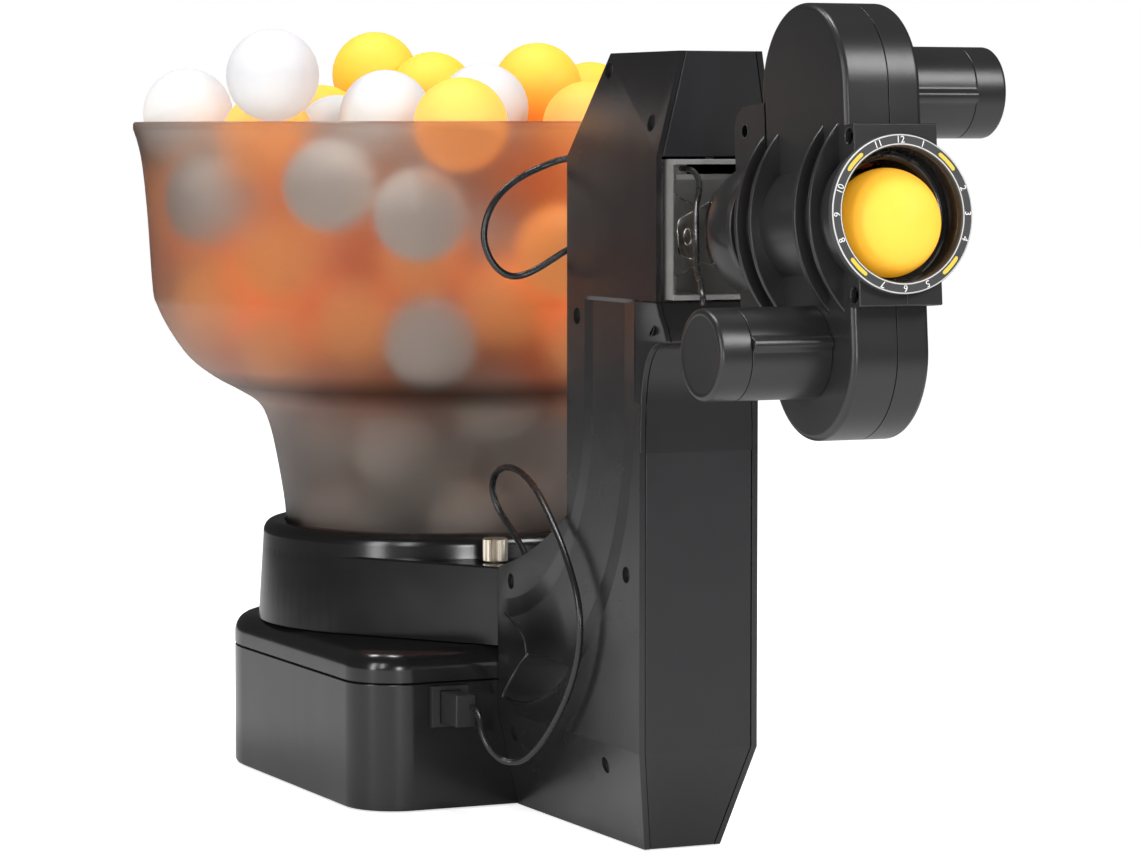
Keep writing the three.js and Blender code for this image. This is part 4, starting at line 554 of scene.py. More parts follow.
def rounded(corners, steps=10):
    """A closed outline whose corners, (u, v, radius), are rounded by true arcs."""
    corners = np.asarray(corners, float)
    line = []
    for i, (u, v, radius) in enumerate(corners):
        here = np.array([u, v])
        before = corners[i - 1, :2] - here
        after = corners[(i + 1) % len(corners), :2] - here
        before /= np.linalg.norm(before)
        after /= np.linalg.norm(after)
        half = math.acos(float(before @ after)) / 2
        middle = (before + after) / np.linalg.norm(before + after)
        centre = here + middle * radius / math.sin(half)
        start = here + before * radius / math.tan(half) - centre
        end = here + after * radius / math.tan(half) - centre
        first = math.degrees(math.atan2(start[1], start[0]))
        last = math.degrees(math.atan2(end[1], end[0]))
        turn = (last - first + 180) % 360 - 180
        line.append(arc(centre, radius, first, first + turn, steps))
    return np.concatenate(line)


def stacked(outline_at, levels):
    """Rings of one outline, one above the other: outline_at gives it for an inset, levels are (inset, z)."""
    rings = []
    for inset, z in levels:
        outline = outline_at(inset)
        rings.append(np.concatenate([outline, np.full((len(outline), 1), z)], 1))
    return np.stack(rings)


def quarter(edge, top, steps=8):
    """The (inset, z) levels of a rounded top edge."""
    turn = np.linspace(0, np.pi / 2, steps + 1)
    return [(edge * (1 - math.cos(t)), top - edge * (1 - math.sin(t))) for t in turn]


def copied(node, finish, body, edge=0.35 * MM, level=None):
    """A finished copy of a solid: its triangles are merged, its flats made whole and its edges eased.
    level is (from, to): faces that lie at the first distance across are lifted to the second."""
    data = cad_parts[node].data.copy()
    data.name = node + "_shaped"
    if level:
        corners = np.zeros(len(data.vertices) * 3, np.float32)
        data.vertices.foreach_get("co", corners)
        across = corners[::3]
        across[:] = np.where(abs(abs(across) - level[0]) < 0.02 * MM, np.copysign(level[1], across), across)
        data.vertices.foreach_set("co", corners)
    work = bmesh.new()
    work.from_mesh(data)
    bmesh.ops.remove_doubles(work, verts=work.verts, dist=1e-6)
    bmesh.ops.dissolve_degenerate(work, edges=work.edges, dist=1e-6)
    bmesh.ops.dissolve_limit(
        work, angle_limit=math.radians(0.5), verts=work.verts, edges=work.edges, delimit={"NORMAL"}
    )
    work.to_mesh(data)
    work.free()
    return piece(node + "_shaped", data, finish, body, (node,), edge=edge)


# Finishes
SATIN = moulded_black(
    "satin_black", (0.010, 0.010, 0.0115), (0.014, 0.014, 0.0155), 0.34, 0.08, 0.00004, 0.0003
)
# The panels carry painted shade over the round hollow near the base.
PANEL = moulded_black(
    "panel_black", (0.009, 0.0086, 0.0094), (0.0125, 0.012, 0.013), 0.26, 0.08, 0.00002, 0.0003,
    panel_relief_and_shade, 0.64,
)
CHIN = moulded_black(
    "chin_black", (0.009, 0.0086, 0.0094), (0.0125, 0.012, 0.013), 0.3, 0.08, 0.00002, 0.0003
)
GLOSS = moulded_black(
    "gloss_black", (0.006, 0.006, 0.0065), (0.009, 0.009, 0.0095), 0.2, 0.05, 0.000004, 0.00035
)
HEAD = head_black()
SMOKE = smoky_plastic()
CLEAR = clear_plastic()
YOKE_CLEAR = clear_with_painted_edge_light()
DIAL = dial_print()
JACKET = cable_jacket()
NICKEL = plated("knurled_nickel", (0.62, 0.56, 0.47), 0.3)
STEEL = plated("turned_steel", (0.5, 0.5, 0.49), 0.32)
DARK_STEEL = plated("blackened_steel", (0.06, 0.06, 0.06), 0.35)
WHITE_PLASTIC = plain_plastic("white_moulding", (0.56, 0.56, 0.54), (0.62, 0.62, 0.6), 0.4)
RUBBER = plain_plastic("foot_rubber", (0.012, 0.012, 0.012), (0.02, 0.02, 0.02), 0.85, 0.0001)
TYRE = plain_plastic("tyre_foam", (0.25, 0.055, 0.025), (0.33, 0.075, 0.035), 0.8, 0.0003)
BOARD = plain_plastic("board_green", (0.012, 0.09, 0.03), (0.02, 0.13, 0.05), 0.4)
CONNECTOR = plain_plastic("connector_black", (0.011, 0.0105, 0.0105), (0.017, 0.016, 0.016), 0.5, 0.00006)
# Painted highlight: a pale grey for the leaf's edge bead, where light would catch it.
EDGE_HIGHLIGHT_PAINT = plain_plastic("painted_edge_highlight", (0.07, 0.07, 0.07), (0.15, 0.15, 0.15), 0.35)
NUMERAL = plain_plastic("numeral_white", (0.7, 0.7, 0.7), (0.78, 0.78, 0.78), 0.5)
YELLOW_BAR = plain_plastic("bar_yellow", (0.62, 0.46, 0.04), (0.7, 0.52, 0.06), 0.5)
# Ball colours: own colour, then painted light: a lighter colour on top, a glow near the wall and a glow on
# top.
ORANGE_BALL = ball_shell(
    "ball_orange", (0.85, 0.32, 0.06), (1.0, 0.5, 0.05), (0.95, 0.36, 0.11), (0.3, 0.13, 0.0)
)
WHITE_BALL = ball_shell(
    "ball_white", (0.58, 0.57, 0.55), (0.62, 0.62, 0.64), (0.32, 0.29, 0.26), (0.0, 0.0, 0.0)
)
# Painted shade: black without shine for the discs that stand in for the dark inside of screw wells.
HOLE_SHADE_PAINT = plain_plastic("painted_hole_shade", (0.001, 0.001, 0.001), (0.002, 0.002, 0.002), 0.9, shine=0.0)

# Camera: from the robot's front left and a little above its middle
CAMERA_PLACE = (-723.5 * MM, -1711.7 * MM, 288 * MM)
CAMERA_DOWN = 4.10
CAMERA_TURN = -24.62
camera_data = bpy.data.cameras.new("camera")
camera_data.sensor_width = 36.0
camera_data.lens = 129.16
camera = bpy.data.objects.new("camera", camera_data)
camera.location = CAMERA_PLACE
camera.rotation_euler = (math.radians(90 - CAMERA_DOWN), 0, math.radians(CAMERA_TURN))
bpy.context.scene.collection.objects.link(camera)
bpy.context.scene.camera = camera

# Cables: the places that each follows, in metres
CABLE_RADIUS = 1.4 * MM
HEAD_CABLE_RADIUS = 1.15 * MM
CABLE_A_PATH = np.array([
    [-12, -188.7, 275.5], [-12, -186, 275.5], [-12.1, -183.4, 275.6], [-14.8, -179.8, 276.9],
    [-18.8, -176.4, 278.2], [-23.8, -172.4, 277.1], [-29.7, -170, 274.6], [-37, -169, 271.3],
    [-43.3, -168, 267.2], [-48.7, -168, 262.3], [-52.5, -168, 256.6], [-54.7, -168, 250],
    [-54.8, -168.3, 243.4], [-52.6, -169, 237], [-49, -170, 232.3], [-44.4, -171, 229.9],
    [-39.2, -172, 230.2], [-33.8, -174, 232.7], [-28.4, -176.6, 236.4], [-23.4, -179.2, 240],
    [-18.4, -181.2, 242.4], [-14.4, -181.9, 243.4], [-12.1, -183.8, 243.6], [-12, -186.2, 243.6],
    [-12, -188.7, 243.6],
]) * MM
CABLE_B_PATH = np.array([
    [-17, -125.4, 104.4], [-17, -125.4, 106], [-17, -125, 107.6], [-17, -122.6, 110.4],
    [-17.4, -118.2, 114], [-18.2, -113, 118.4], [-19.4, -108, 122.8], [-20.8, -104.2, 127.4],
    [-22.4, -102.8, 132.6], [-23.8, -105, 138], [-25, -111.2, 143], [-26, -120.8, 146.2],
    [-27, -133, 147.2], [-28, -146.4, 145.6], [-29, -160, 141.4], [-30, -172.6, 135],
    [-30.7, -184, 127], [-31.2, -194, 118.8], [-31.5, -202.2, 110], [-31.6, -208.6, 100.8],
    [-31.6, -211.4, 91], [-31.6, -210.8, 80], [-31.7, -206.8, 69.4], [-31.9, -200, 59],
    [-32.3, -192, 49.8], [-33.2, -183.6, 41.2], [-34.4, -175, 33.8], [-36.4, -167, 28.4],
    [-39, -161.6, 26.5], [-42.4, -158, 27], [-45.4, -155.6, 29.6], [-47.6, -153.6, 33.4],
    [-48.5, -150.6, 38], [-48.2, -147.4, 42.6], [-47.6, -143.6, 45.6], [-47, -139.6, 46.6],
    [-47, -136.3, 46.6],
]) * MM
CABLE_C_UPPER_PATH = np.array([
    [-14, -268.3, 274.6], [-14, -271.5, 274.6], [-14.3, -277, 274.2], [-15.3, -283.5, 272.6],
    [-17.5, -290.8, 269.8], [-20.6, -297.4, 266.6],
]) * MM
CABLE_C_LOWER_PATH = np.array([
    [-20.8, -297.8, 266.4], [-23.4, -302.1, 263.7], [-25.7, -305.4, 261], [-28.1, -309.8, 256.2],
    [-30.9, -315.6, 249.6], [-34.6, -323.2, 243.8], [-40.6, -335.6, 238.4], [-46.6, -349, 235.2],
    [-52, -361.6, 234], [-56, -370.6, 231.8], [-57.8, -375.4, 228.4], [-58, -376.4, 225.6],
]) * MM


def cable(name, path, radius, body, node):
    """A round jacket carried along a smooth line: each ring stands square to the line, and its first
    direction is handed on from ring to ring so that it never twists."""
    line = smooth_line(path, 6)
    heading = np.gradient(line, axis=0)
    heading /= np.linalg.norm(heading, axis=1, keepdims=True)
    aside = np.zeros_like(line)
    start = np.cross(heading[0], [0.3, 0.5, 0.81])
    for i in range(len(line)):
        start = start - heading[i] * (start @ heading[i])
        start /= np.linalg.norm(start)
        aside[i] = start
    above = np.cross(heading, aside)
    turn = np.linspace(0, 2 * np.pi, 16, endpoint=False)[None, :, None]
    rings = line[:, None] + radius * (np.cos(turn) * aside[:, None] + np.sin(turn) * above[:, None])
    shell = Shell().grid(rings, ring=True).lid(rings[0]).lid(rings[-1])
    made = piece(name, shell, JACKET, body, (node,), 50)
    return made


plug = copied("plug_b", CONNECTOR, "base", edge=0.5 * MM)
cable("tower_cable", CABLE_A_PATH, CABLE_RADIUS, "base", "cable_a")
cable(
    "plug_cable", CABLE_B_PATH, CABLE_RADIUS, "base", "cable_b",
)
cable(
    "head_cable_rear", CABLE_C_UPPER_PATH, HEAD_CABLE_RADIUS,
    ("yoke", "cup", CABLE_C_UPPER_PATH[1], CABLE_C_UPPER_PATH[-1]), "cable_c_upper",
)
cable(
    "head_cable_front", CABLE_C_LOWER_PATH, HEAD_CABLE_RADIUS,
    ("cup", "head", CABLE_C_LOWER_PATH[0], CABLE_C_LOWER_PATH[-3]), "cable_c_lower",
)


# Base
def base_outline(inset):
    """The base from above: a rounded rectangle with wider rounding at its rear corners."""
    side = 87.8 * MM - inset
    front = inset + NOSE_END
    back = 88 * MM - inset
    near = 23 * MM - inset
    far = 54 * MM - inset
    return rounded([(-side, front, near), (side, front, near), (side, back, far), (-side, back, far)])


def make_base():
    """Two stacked rounded boxes with a fine gap between them."""
    foot = [(1.2 * MM, 0.6 * MM), (0.4 * MM, 0.85 * MM), (0.0, 1.8 * MM)]
    lip = [(0.0, 54.5 * MM), (0.4 * MM, 54.9 * MM), (3 * MM, 55.0 * MM)]
    inner = [(3 * MM, 3.6 * MM)]
    rings = stacked(base_outline, foot + lip + inner)
    tray = Shell().grid(rings, ring=True).lid(rings[0]).lid(rings[-1])
    piece("tray_moulding", tray, GLOSS, "base", ("base_tray",))
    skirt = [(2.5 * MM, 55.3 * MM), (0.35 * MM, 55.3 * MM), (0.0, 55.7 * MM)]
    rings = stacked(base_outline, skirt + quarter(8.5 * MM, 69.3 * MM, 12))
    cover = Shell().grid(rings, ring=True).lid(rings[0]).lid(rings[-1])
    piece("cover_moulding", cover, GLOSS, "base", ("base_cover",))


def nose_outline(inset, radius):
    """A circle with two straight runs that leave it as tangents and end at the tower."""
    side = TOWER_HALF_WIDTH - inset
    lean = math.atan2(side, -NOSE_END)
    spread = math.acos(radius / math.hypot(side, NOSE_END))
    turn = math.degrees(lean + spread) - 90
    round_part = arc((0, 0), radius, turn, 180 - turn, 60)
    left = np.linspace(round_part[-1], [-side, NOSE_END], 12)[1:]
    right = np.linspace([side, NOSE_END], round_part[0], 12)[:-1]
    return np.concatenate([round_part, left, right])


def make_collar():
    """A tapered round collar with a rounded top edge, and the straight run that meets the tower."""
    foot = [(74.4, 69.7), (86.3, 69.7), (86.5, 70.4), (84.6, 100), (84.2, 107.6)]
    turn = np.linspace(0, np.pi / 2, 10)
    edge = np.stack([79.2 + 5.0 * np.cos(turn), 108.4 + 5.6 * np.sin(turn)], 1)
    rim = [(75.2, 114.0), (74.6, 113.6), (74.4, 112.8)]
    profile = np.concatenate([foot, edge, rim]) * MM
    collar = turned(profile, 160)
    rings = []
    for inset, z in [(0.0, 69.7 * MM), (0.0, 70.6 * MM), (0.0, 85 * MM)] + quarter(1.0 * MM, 103.5 * MM, 4):
        radius = np.interp(z, [69.7 * MM, 100 * MM, 104 * MM], [86.55 * MM, 84.65 * MM, 84.4 * MM])
        outline = nose_outline(inset, radius - inset)
        rings.append(np.concatenate([outline, np.full((len(outline), 1), z)], 1))
    rings = np.stack(rings)
    collar.grid(rings, ring=True).lid(rings[0])
    top = rings[-1]
    hole = top.copy()
    away = np.linalg.norm(hole[:, :2], axis=1, keepdims=True)
    hole[:, :2] *= np.minimum(1.0, 78 * MM / away)
    collar.grid(np.stack([top, hole]), ring=True)
    piece("collar_moulding", collar, GLOSS, "base", ("feed_housing",))


def make_thumb_screw(name, x, node, body):
    """A knurled knob: forty fine ridges round a cylinder with eased ends, on a plain stem."""
    y, low = -98 * MM, 103.8 * MM
    turn = np.linspace(0, 2 * np.pi, 160, endpoint=False)
    ridge = 0.18 * MM * np.cos(turn * 40)
    levels = np.array([(4.7, 0.0), (5.3, 0.5), (5.3, 9.6), (4.8, 10.2), (3.9, 10.3), (0.02, 10.1)]) * MM
    share = np.array([0.3, 1.0, 1.0, 0.5, 0.0, 0.0])[:, None]
    radius = levels[:, :1] + ridge * share
    height = np.broadcast_to(low + levels[:, 1:], radius.shape)
    points = np.stack([x + radius * np.cos(turn), y + radius * np.sin(turn), height], -1)
    shell = Shell().grid(points, ring=True).lid(points[-1]).lid(points[0])
    stem = turned(np.array([(0.02, 99.0), (2.0, 99.0), (2.0, 104.2), (0.02, 104.2)]) * MM, 24, (x, y))
    shell.grid(stem.points[0].reshape(4, 24, 3), ring=True, loop=True)
    piece(name, shell, NICKEL, body, (node,), 25)


# Hopper and its load
HOPPER_WALL = 2.3 * MM
HOPPER_LINE = np.array([
    (74.0, 90.3), (74.0, 105), (74.3, 120), (78, 143), (81.5, 158), (86, 167), (95, 173), (106, 179),
    (117, 187.5), (126, 200), (131.5, 211), (133.5, 219), (135.5, 250), (137.2, 269), (138.6, 279),
    (140.3, 286),
]) * MM


def make_hopper():
    """A lathe bowl: its outer line is smooth through the places of HOPPER_LINE, and the inner line keeps
    one wall inside it, with a rolled rim."""
    outer = smooth_line(HOPPER_LINE, 4)
    inner = outer - [HOPPER_WALL, 0]
    rim_out = np.array([(141.5, 289.4), (141.8, 290.4), (141.8, 292.6), (141.3, 293.3), (140.8, 293.5)]) * MM
    rim_in = np.array([(140.2, 293.5), (139.7, 293.1), (139.5, 292.4), (139.2, 289.4)]) * MM
    profile = np.concatenate([outer, rim_out, rim_in, inner[::-1]])
    bowl = turned(profile, 192)
    piece("hopper_bowl", bowl, SMOKE, "base", ("hopper",), 60)


# Balls with a place of their own, as (x, y, z) of their middles
SHOWN_WHITE = np.array([
    (-116.6, 21.5, 297.3), (-104.9, -55.1, 313.2), (-53.4, -57, 296), (-58.5, -13.6, 285.5),
    (-7, -56.5, 299.1), (-112.1, -1.3, 259.1), (-85.4, -72.6, 266.3), (-54.2, -97.8, 253.7),
    (-45.1, -86.7, 195.3), (-41.2, -36.9, 150.7),
]) * MM
SHOWN_ORANGE = np.array([
    (-96.5, -26.2, 286.7), (-1.6, 84.4, 316.1), (12.6, 48.3, 306.2), (-33.7, 70.3, 290.9),
    (-41, -111, 292.2), (40.1, -9.7, 309.5), (26.5, -94, 291.2), (80, 19.1, 301.6),
]) * MM


def wall_push(middles):
    """How far each ball has to move, in the plane through the axis, to clear the inner wall: away from
    the nearest point of the wall's line, by what the ball still lacks."""
    wall = smooth_line(HOPPER_LINE, 4) - [HOPPER_WALL, 0]
    away = np.hypot(middles[:, 0], middles[:, 1]) + 1e-9
    spot = np.stack([away, middles[:, 2]], 1)
    apart = spot[:, None] - wall
    distance = np.linalg.norm(apart, axis=2)
    nearest = distance.argmin(1)
    pick = np.arange(len(middles))
    lack = np.clip(BALL_RADIUS + 0.6 * MM - distance[pick, nearest], 0, None)
    inward = np.array([-1.0, 0.0])
    heading = apart[pick, nearest] / np.maximum(distance[pick, nearest], 1e-9)[:, None]
    heading = np.where((heading[:, :1] < 0) | (heading[:, 1:] > 0.5), heading, inward)
    move = heading * lack[:, None]
    flat = middles[:, :2] / away[:, None] * move[:, :1]
    return np.concatenate([flat, move[:, 1:]], 1)


PACKING_ROUNDS = 320
SINK_STEP = 0.1 * MM
PUSH_SHARE = 0.35
LAYER_STEP_MM = 33
BALL_STEP_MM = 41


def packed_balls():
    """Fills the bowl: balls start on staggered layers, then sink and push each other and the wall away
    a little at a time until they lie snug. The ones with a place of their own stay there."""
    shown = np.concatenate([SHOWN_WHITE, SHOWN_ORANGE])
    layers = []
    for level, height in enumerate(np.arange(118, 285, LAYER_STEP_MM) * MM):
        wall = np.interp(height, HOPPER_LINE[:, 1], HOPPER_LINE[:, 0]) - 23 * MM
        shift = (level % 2) * 20.5 * MM
        steps = np.arange(-3, 4) * BALL_STEP_MM * MM + shift
        x, y = np.meshgrid(steps, steps + 6 * MM * level)
        inside = np.hypot(x, y) < wall
        layers.append(np.stack([x[inside], y[inside], np.full(inside.sum(), height)], 1))
    loose = np.concatenate(layers)
    loose = loose[(np.linalg.norm(loose[:, None] - shown, axis=2) > 30 * MM).all(1)]
    for _ in range(PACKING_ROUNDS):
        loose[:, 2] -= SINK_STEP
        everyone = np.concatenate([loose, shown])
        apart = loose[:, None] - everyone
        distance = np.linalg.norm(apart, axis=2) + 1e-9
        overlap = np.clip(2 * BALL_RADIUS + 0.1 * MM - distance, 0, None)
        overlap[np.arange(len(loose)), np.arange(len(loose))] = 0
        loose = loose + PUSH_SHARE * (apart * (overlap / distance)[..., None]).sum(1)
        loose = loose + wall_push(loose)
        loose[:, 2] = np.maximum(loose[:, 2], 116 * MM)
    return loose


def balls(middles, columns):
    """Spheres: each is a grid of latitude rings and longitude columns about its middle."""
    rows = columns // 2
    tilt = np.linspace(0, np.pi, rows + 1)[:, None]
    turn = np.linspace(0, 2 * np.pi, columns, endpoint=False)
    height = np.broadcast_to(np.cos(tilt), (rows + 1, columns))
    unit = np.stack([np.sin(tilt) * np.cos(turn), np.sin(tilt) * np.sin(turn), height], -1)
    shell = Shell()
    for middle in middles:
        shell.grid(middle + BALL_RADIUS * unit, ring=True)
    return shell


def make_balls():
    """The hopper's load of white and orange balls, and the ball that waits in the nozzle. The white ones
    lie low in the neck, and here and there near the middle."""
    for placed in (SHOWN_WHITE, SHOWN_ORANGE):
        for _ in range(6):
            placed += wall_push(placed)
    loose = packed_balls()
    deep = np.hypot(loose[:, 0], loose[:, 1]) < 62 * MM
    white = (loose[:, 2] < 172 * MM) | (deep & ((np.arange(len(loose)) * 7) % 10 < 3))
    ready = np.array([(0.0, -408.2, 255.9)]) * MM
    for name, middles, finish, body, columns in (
        ("balls_white", np.concatenate([SHOWN_WHITE, loose[white]]), WHITE_BALL, "base", 32),
        ("balls_orange", np.concatenate([SHOWN_ORANGE, loose[~white]]), ORANGE_BALL, "base", 32),
        ("ball_in_nozzle", ready, ORANGE_BALL, "head", 96),
    ):
        piece(name, balls(middles, columns), finish, body, (), 60)


# Tower
def make_well(name, middle, facing, radius, rim, body):
    """A screw's well: a disc of painted shade, black and without shine, lifted just off the surface in place
    of the shaded hole, and a fine rolled rim, square to the way it faces.
    """
    facing = facing / np.linalg.norm(facing)
    first = np.cross(facing, [0.0, 0.0, 1.0])
    first /= np.linalg.norm(first)
    second = np.cross(facing, first)
    turn = np.linspace(0, 2 * np.pi, 40, endpoint=False)[:, None]
    round_way = np.cos(turn) * first + np.sin(turn) * second
    # Painted shade: a flat black disc just off the surface in place of a real hole.
    floor = Shell().lid(middle + facing * 0.12 * MM + radius * round_way)
    piece(name, floor, HOLE_SHADE_PAINT, body, (), 40)
    bead = np.linspace(0, 2 * np.pi, 8, endpoint=False)[:, None, None]
    reach = radius + 0.3 * MM * np.cos(bead)
    ring = middle + reach * round_way + (0.28 * MM * np.sin(bead)) * facing
    shell = Shell().grid(ring, ring=True, loop=True)
    piece(name + "_rim", shell, rim, body, (), 60)


def make_chin():
    """The chin under the window. Its side outline goes up the cove, forward under the chin, up its front
    and back along the sill. Each side is drawn in by the product of three soft ramps: forward, down from
    the sill and up from the column. A fine groove marks where the sides meet the front."""
    rise = np.linspace(0, 1, 15)[:, None]
    start, turn, end = np.array([(256.4, 182.0), (256.4, 206.0), (268.0, 206.0)])
    cove = start * (1 - rise) ** 2 + 2 * turn * rise * (1 - rise) + end * rise**2
    below = np.stack([np.full(6, 256.4), np.linspace(162, 178.5, 6)], 1)
    front = [(269.8, 206.0), (270.7, 206.3), (271.0, 207.2), (271.0, 212), (271.0, 217), (271.0, 221.6)]
    sill = [(270.8, 222.1), (270.3, 222.3), (262, 222.3), (251.6, 222.3)]
    line = np.concatenate([below, cove, front, sill])
    along = np.gradient(line, axis=0)
    along /= np.linalg.norm(along, axis=1, keepdims=True)
    inward = np.stack([-along[:, 1], along[:, 0]], 1)

    def half_width(spot):
        """Half the chin's width in mm at a place given as (forward, height)."""
        forward = np.clip((spot[:, 0] - 248) / 23, 0, 1)
        over = np.clip((222.6 - spot[:, 1]) / 16.6, 0, 1)
        under = np.clip((spot[:, 1] - 162) / 44, 0, 1)
        ramps = [share**2 * (3 - 2 * share) for share in (forward, over, under)]
        return TOWER_HALF_WIDTH / MM - 4.3 * ramps[0] * ramps[1] * ramps[2]

    rows = []
    rear = np.stack([np.full(len(line), 251.6), line[:, 1]], 1)
    for share in np.linspace(0, 0.94, 7):
        spot = rear + (line - rear) * share
        rows.append(np.stack([-half_width(spot), -spot[:, 0], spot[:, 1]], 1))
    for back, sunk in ((0.0, 0.45), (0.12, 0.13), (0.45, 0.0), (2.2, 0.0), (2.45, 0.5), (2.7, 0.0)):
        spot = line + inward * sunk
        rows.append(np.stack([back - half_width(line), -spot[:, 0], spot[:, 1]], 1))
    rows = np.stack(rows) * MM
    other = rows[::-1] * [-1, 1, 1]
    shell = Shell().grid(np.concatenate([rows, other]))
    piece("chin_shape", shell, CHIN, "base", ("chin_cover",), 50)
    well = np.array([262.7, 211.4])
    reach, ahead, above = half_width(well + [(0, 0), (1, 0), (0, 1)])
    facing = np.array([-1.0, reach - ahead, above - reach])
    for name, side in (("chin_well_left", 1), ("chin_well_right", -1)):
        place = np.array([-side * reach, -well[0], well[1]]) * MM
        make_well(name, place, facing * [side, 1, 1], 2.8 * MM, CHIN, "base")


def make_leaf(name, side):
    """A raised leaf near the base on a side panel. Its straight edge stands highest, and its surface falls
    away to the front: each place is a blend of the lower curve and the upper line, and its height is
    what is left of the way to the tip, less the fourth power of the way to either line."""
    ahead = np.linspace(0, 1, 36)[:, None]
    start, turn, tip = np.array([(121.2, 48.2), (158, 43.5), (192, 69.5)])
    low = start * (1 - ahead) ** 2 + 2 * turn * ahead * (1 - ahead) + tip * ahead**2
    start, turn = np.array([(147.5, 69.2), (160, 71.6)])
    high = start * (1 - ahead) ** 2 + 2 * turn * ahead * (1 - ahead) + tip * ahead**2
    share = np.linspace(0, 1, 24)[:, None, None]
    spot = low * (1 - share) + high * share
    across = 1 - (2 * share[..., 0] - 1) ** 4
    lift = 3.2 * (1 - ahead[:, 0]) ** 1.4 * (0.35 + 0.65 * np.minimum(1, ahead[:, 0] * 14)) * across
    foot = spot[:, :1] - [0.5, -0.4]
    spot = np.concatenate([foot, spot], 1)
    lift = np.concatenate([np.full((24, 1), -0.1), lift - 0.05], 1)
    points = np.stack([side * (TOWER_HALF_WIDTH / MM + lift), -spot[..., 0], spot[..., 1]], -1) * MM
    shell = Shell().grid(points)
    made = piece(name, shell, CHIN, "base", (), 50)
    walled(made, 0.4 * MM)


def make_bead(name, side, corners, thick, finish):
    """A fine ridge on a side panel: a bead with thin ends along a smooth line."""
    line = smooth_line(corners, 6)
    heading = np.gradient(line, axis=0)
    heading /= np.linalg.norm(heading, axis=1, keepdims=True)
    turn = np.linspace(0, 2 * np.pi, 12, endpoint=False)
    size = thick * np.sin(np.linspace(0.05, np.pi - 0.05, len(line)))[:, None] ** 0.4
    aside = np.stack([-heading[:, 1], heading[:, 0]], 1)
    spot = line[:, None] + (size * np.cos(turn))[..., None] * aside[:, None]
    reach = TOWER_HALF_WIDTH / MM + 0.1 + size * np.sin(turn)
    points = np.stack([side * reach, -spot[..., 0], spot[..., 1]], -1) * MM
    shell = Shell().grid(points, ring=True).lid(points[0]).lid(points[-1])
    piece(name, shell, finish, "base", (), 60)


# Shooting head
def stadium(inset, side, x):
    """The wheel housing from the side: up its front, over the wheel and down its rear. The straight
    runs end on the barrel, lower the further they are from the middle plane."""
    radius = HOUSING_RADIUS - inset
    foot = math.sqrt(HOUSING_FOOT_RADIUS**2 - x**2)
    front = np.stack([np.full(12, WHEEL_FORWARD + radius), np.linspace(foot, WHEEL_HEIGHT, 12)], 1)
    round_part = arc((WHEEL_FORWARD, WHEEL_HEIGHT), radius, 0, 180, 48)[1:-1]
    rear = np.stack([np.full(12, WHEEL_FORWARD - radius), np.linspace(WHEEL_HEIGHT, foot, 12)], 1)
    line = np.concatenate([front, round_part, rear])
    return line * [1, side]


def make_wheel_housing(name, side, node):
    """A narrow box with a round end: the side outline is carried across, drawn in at both rounded
    edges, and closed to a line in the middle of each flat side."""
    half, edge = HOUSING_HALF_WIDTH, 2.4 * MM
    turn = np.linspace(0, np.pi / 2, 8)
    right = [(half - edge * (1 - math.sin(t)), edge * (1 - math.cos(t))) for t in turn]
    right = right + [(half, HOUSING_RADIUS)]
    left = [(-x, inset) for x, inset in right][::-1]
    seam = [(HEAD_SEAM - 0.3 * MM, 0.0), (HEAD_SEAM, 0.35 * MM), (HEAD_SEAM + 0.3 * MM, 0.0)]
    rows = []
    for x, inset in left + seam + right:
        line = stadium(inset, side, x)
        rows.append(aimed(x, line[:, 0], line[:, 1]))
    shell = Shell().grid(np.stack(rows))
    made = piece(name, shell, HEAD, "head", (node,), 40)
    walled(made, 2.4 * MM)


def make_barrel():
    """The tube round the ball's way: a lathe skin with an opening above and below for the wheels."""
    ends = np.linspace(42.3, 66, 12), np.linspace(106, 118.8, 7)
    forward = np.concatenate([ends[0], np.linspace(67, 105, 39), ends[1]]) * MM
    turn = np.linspace(0, 2 * np.pi, 144, endpoint=False)
    points = aimed(BARREL_RADIUS * np.cos(turn), forward[:, None], BARREL_RADIUS * np.sin(turn))
    middle = (forward[1:] + forward[:-1])[:, None] / 2
    half = (turn + (np.roll(turn, -1) + np.where(np.arange(144) == 143, 2 * np.pi, 0))) / 2
    narrow = np.abs(BARREL_RADIUS * np.cos(half)) < 12.5 * MM
    open_cell = narrow & (np.abs(middle - WHEEL_FORWARD) < 16 * MM)
    shell = Shell().grid(points, ring=True, keep=~open_cell)
    made = piece("barrel_tube", shell, HEAD, "head", (), 40)
    walled(made, 4.3 * MM)
    collar = np.array([(25.2, 42.3), (27.1, 42.3), (27.5, 42.7), (27.5, 45.9), (27.1, 46.3), (24.6, 46.3)])
    ring = aimed_lathe(np.concatenate([[(24.0, 42.4)], collar]) * MM)
    piece("barrel_collar", ring, HEAD, "head", (), 40)


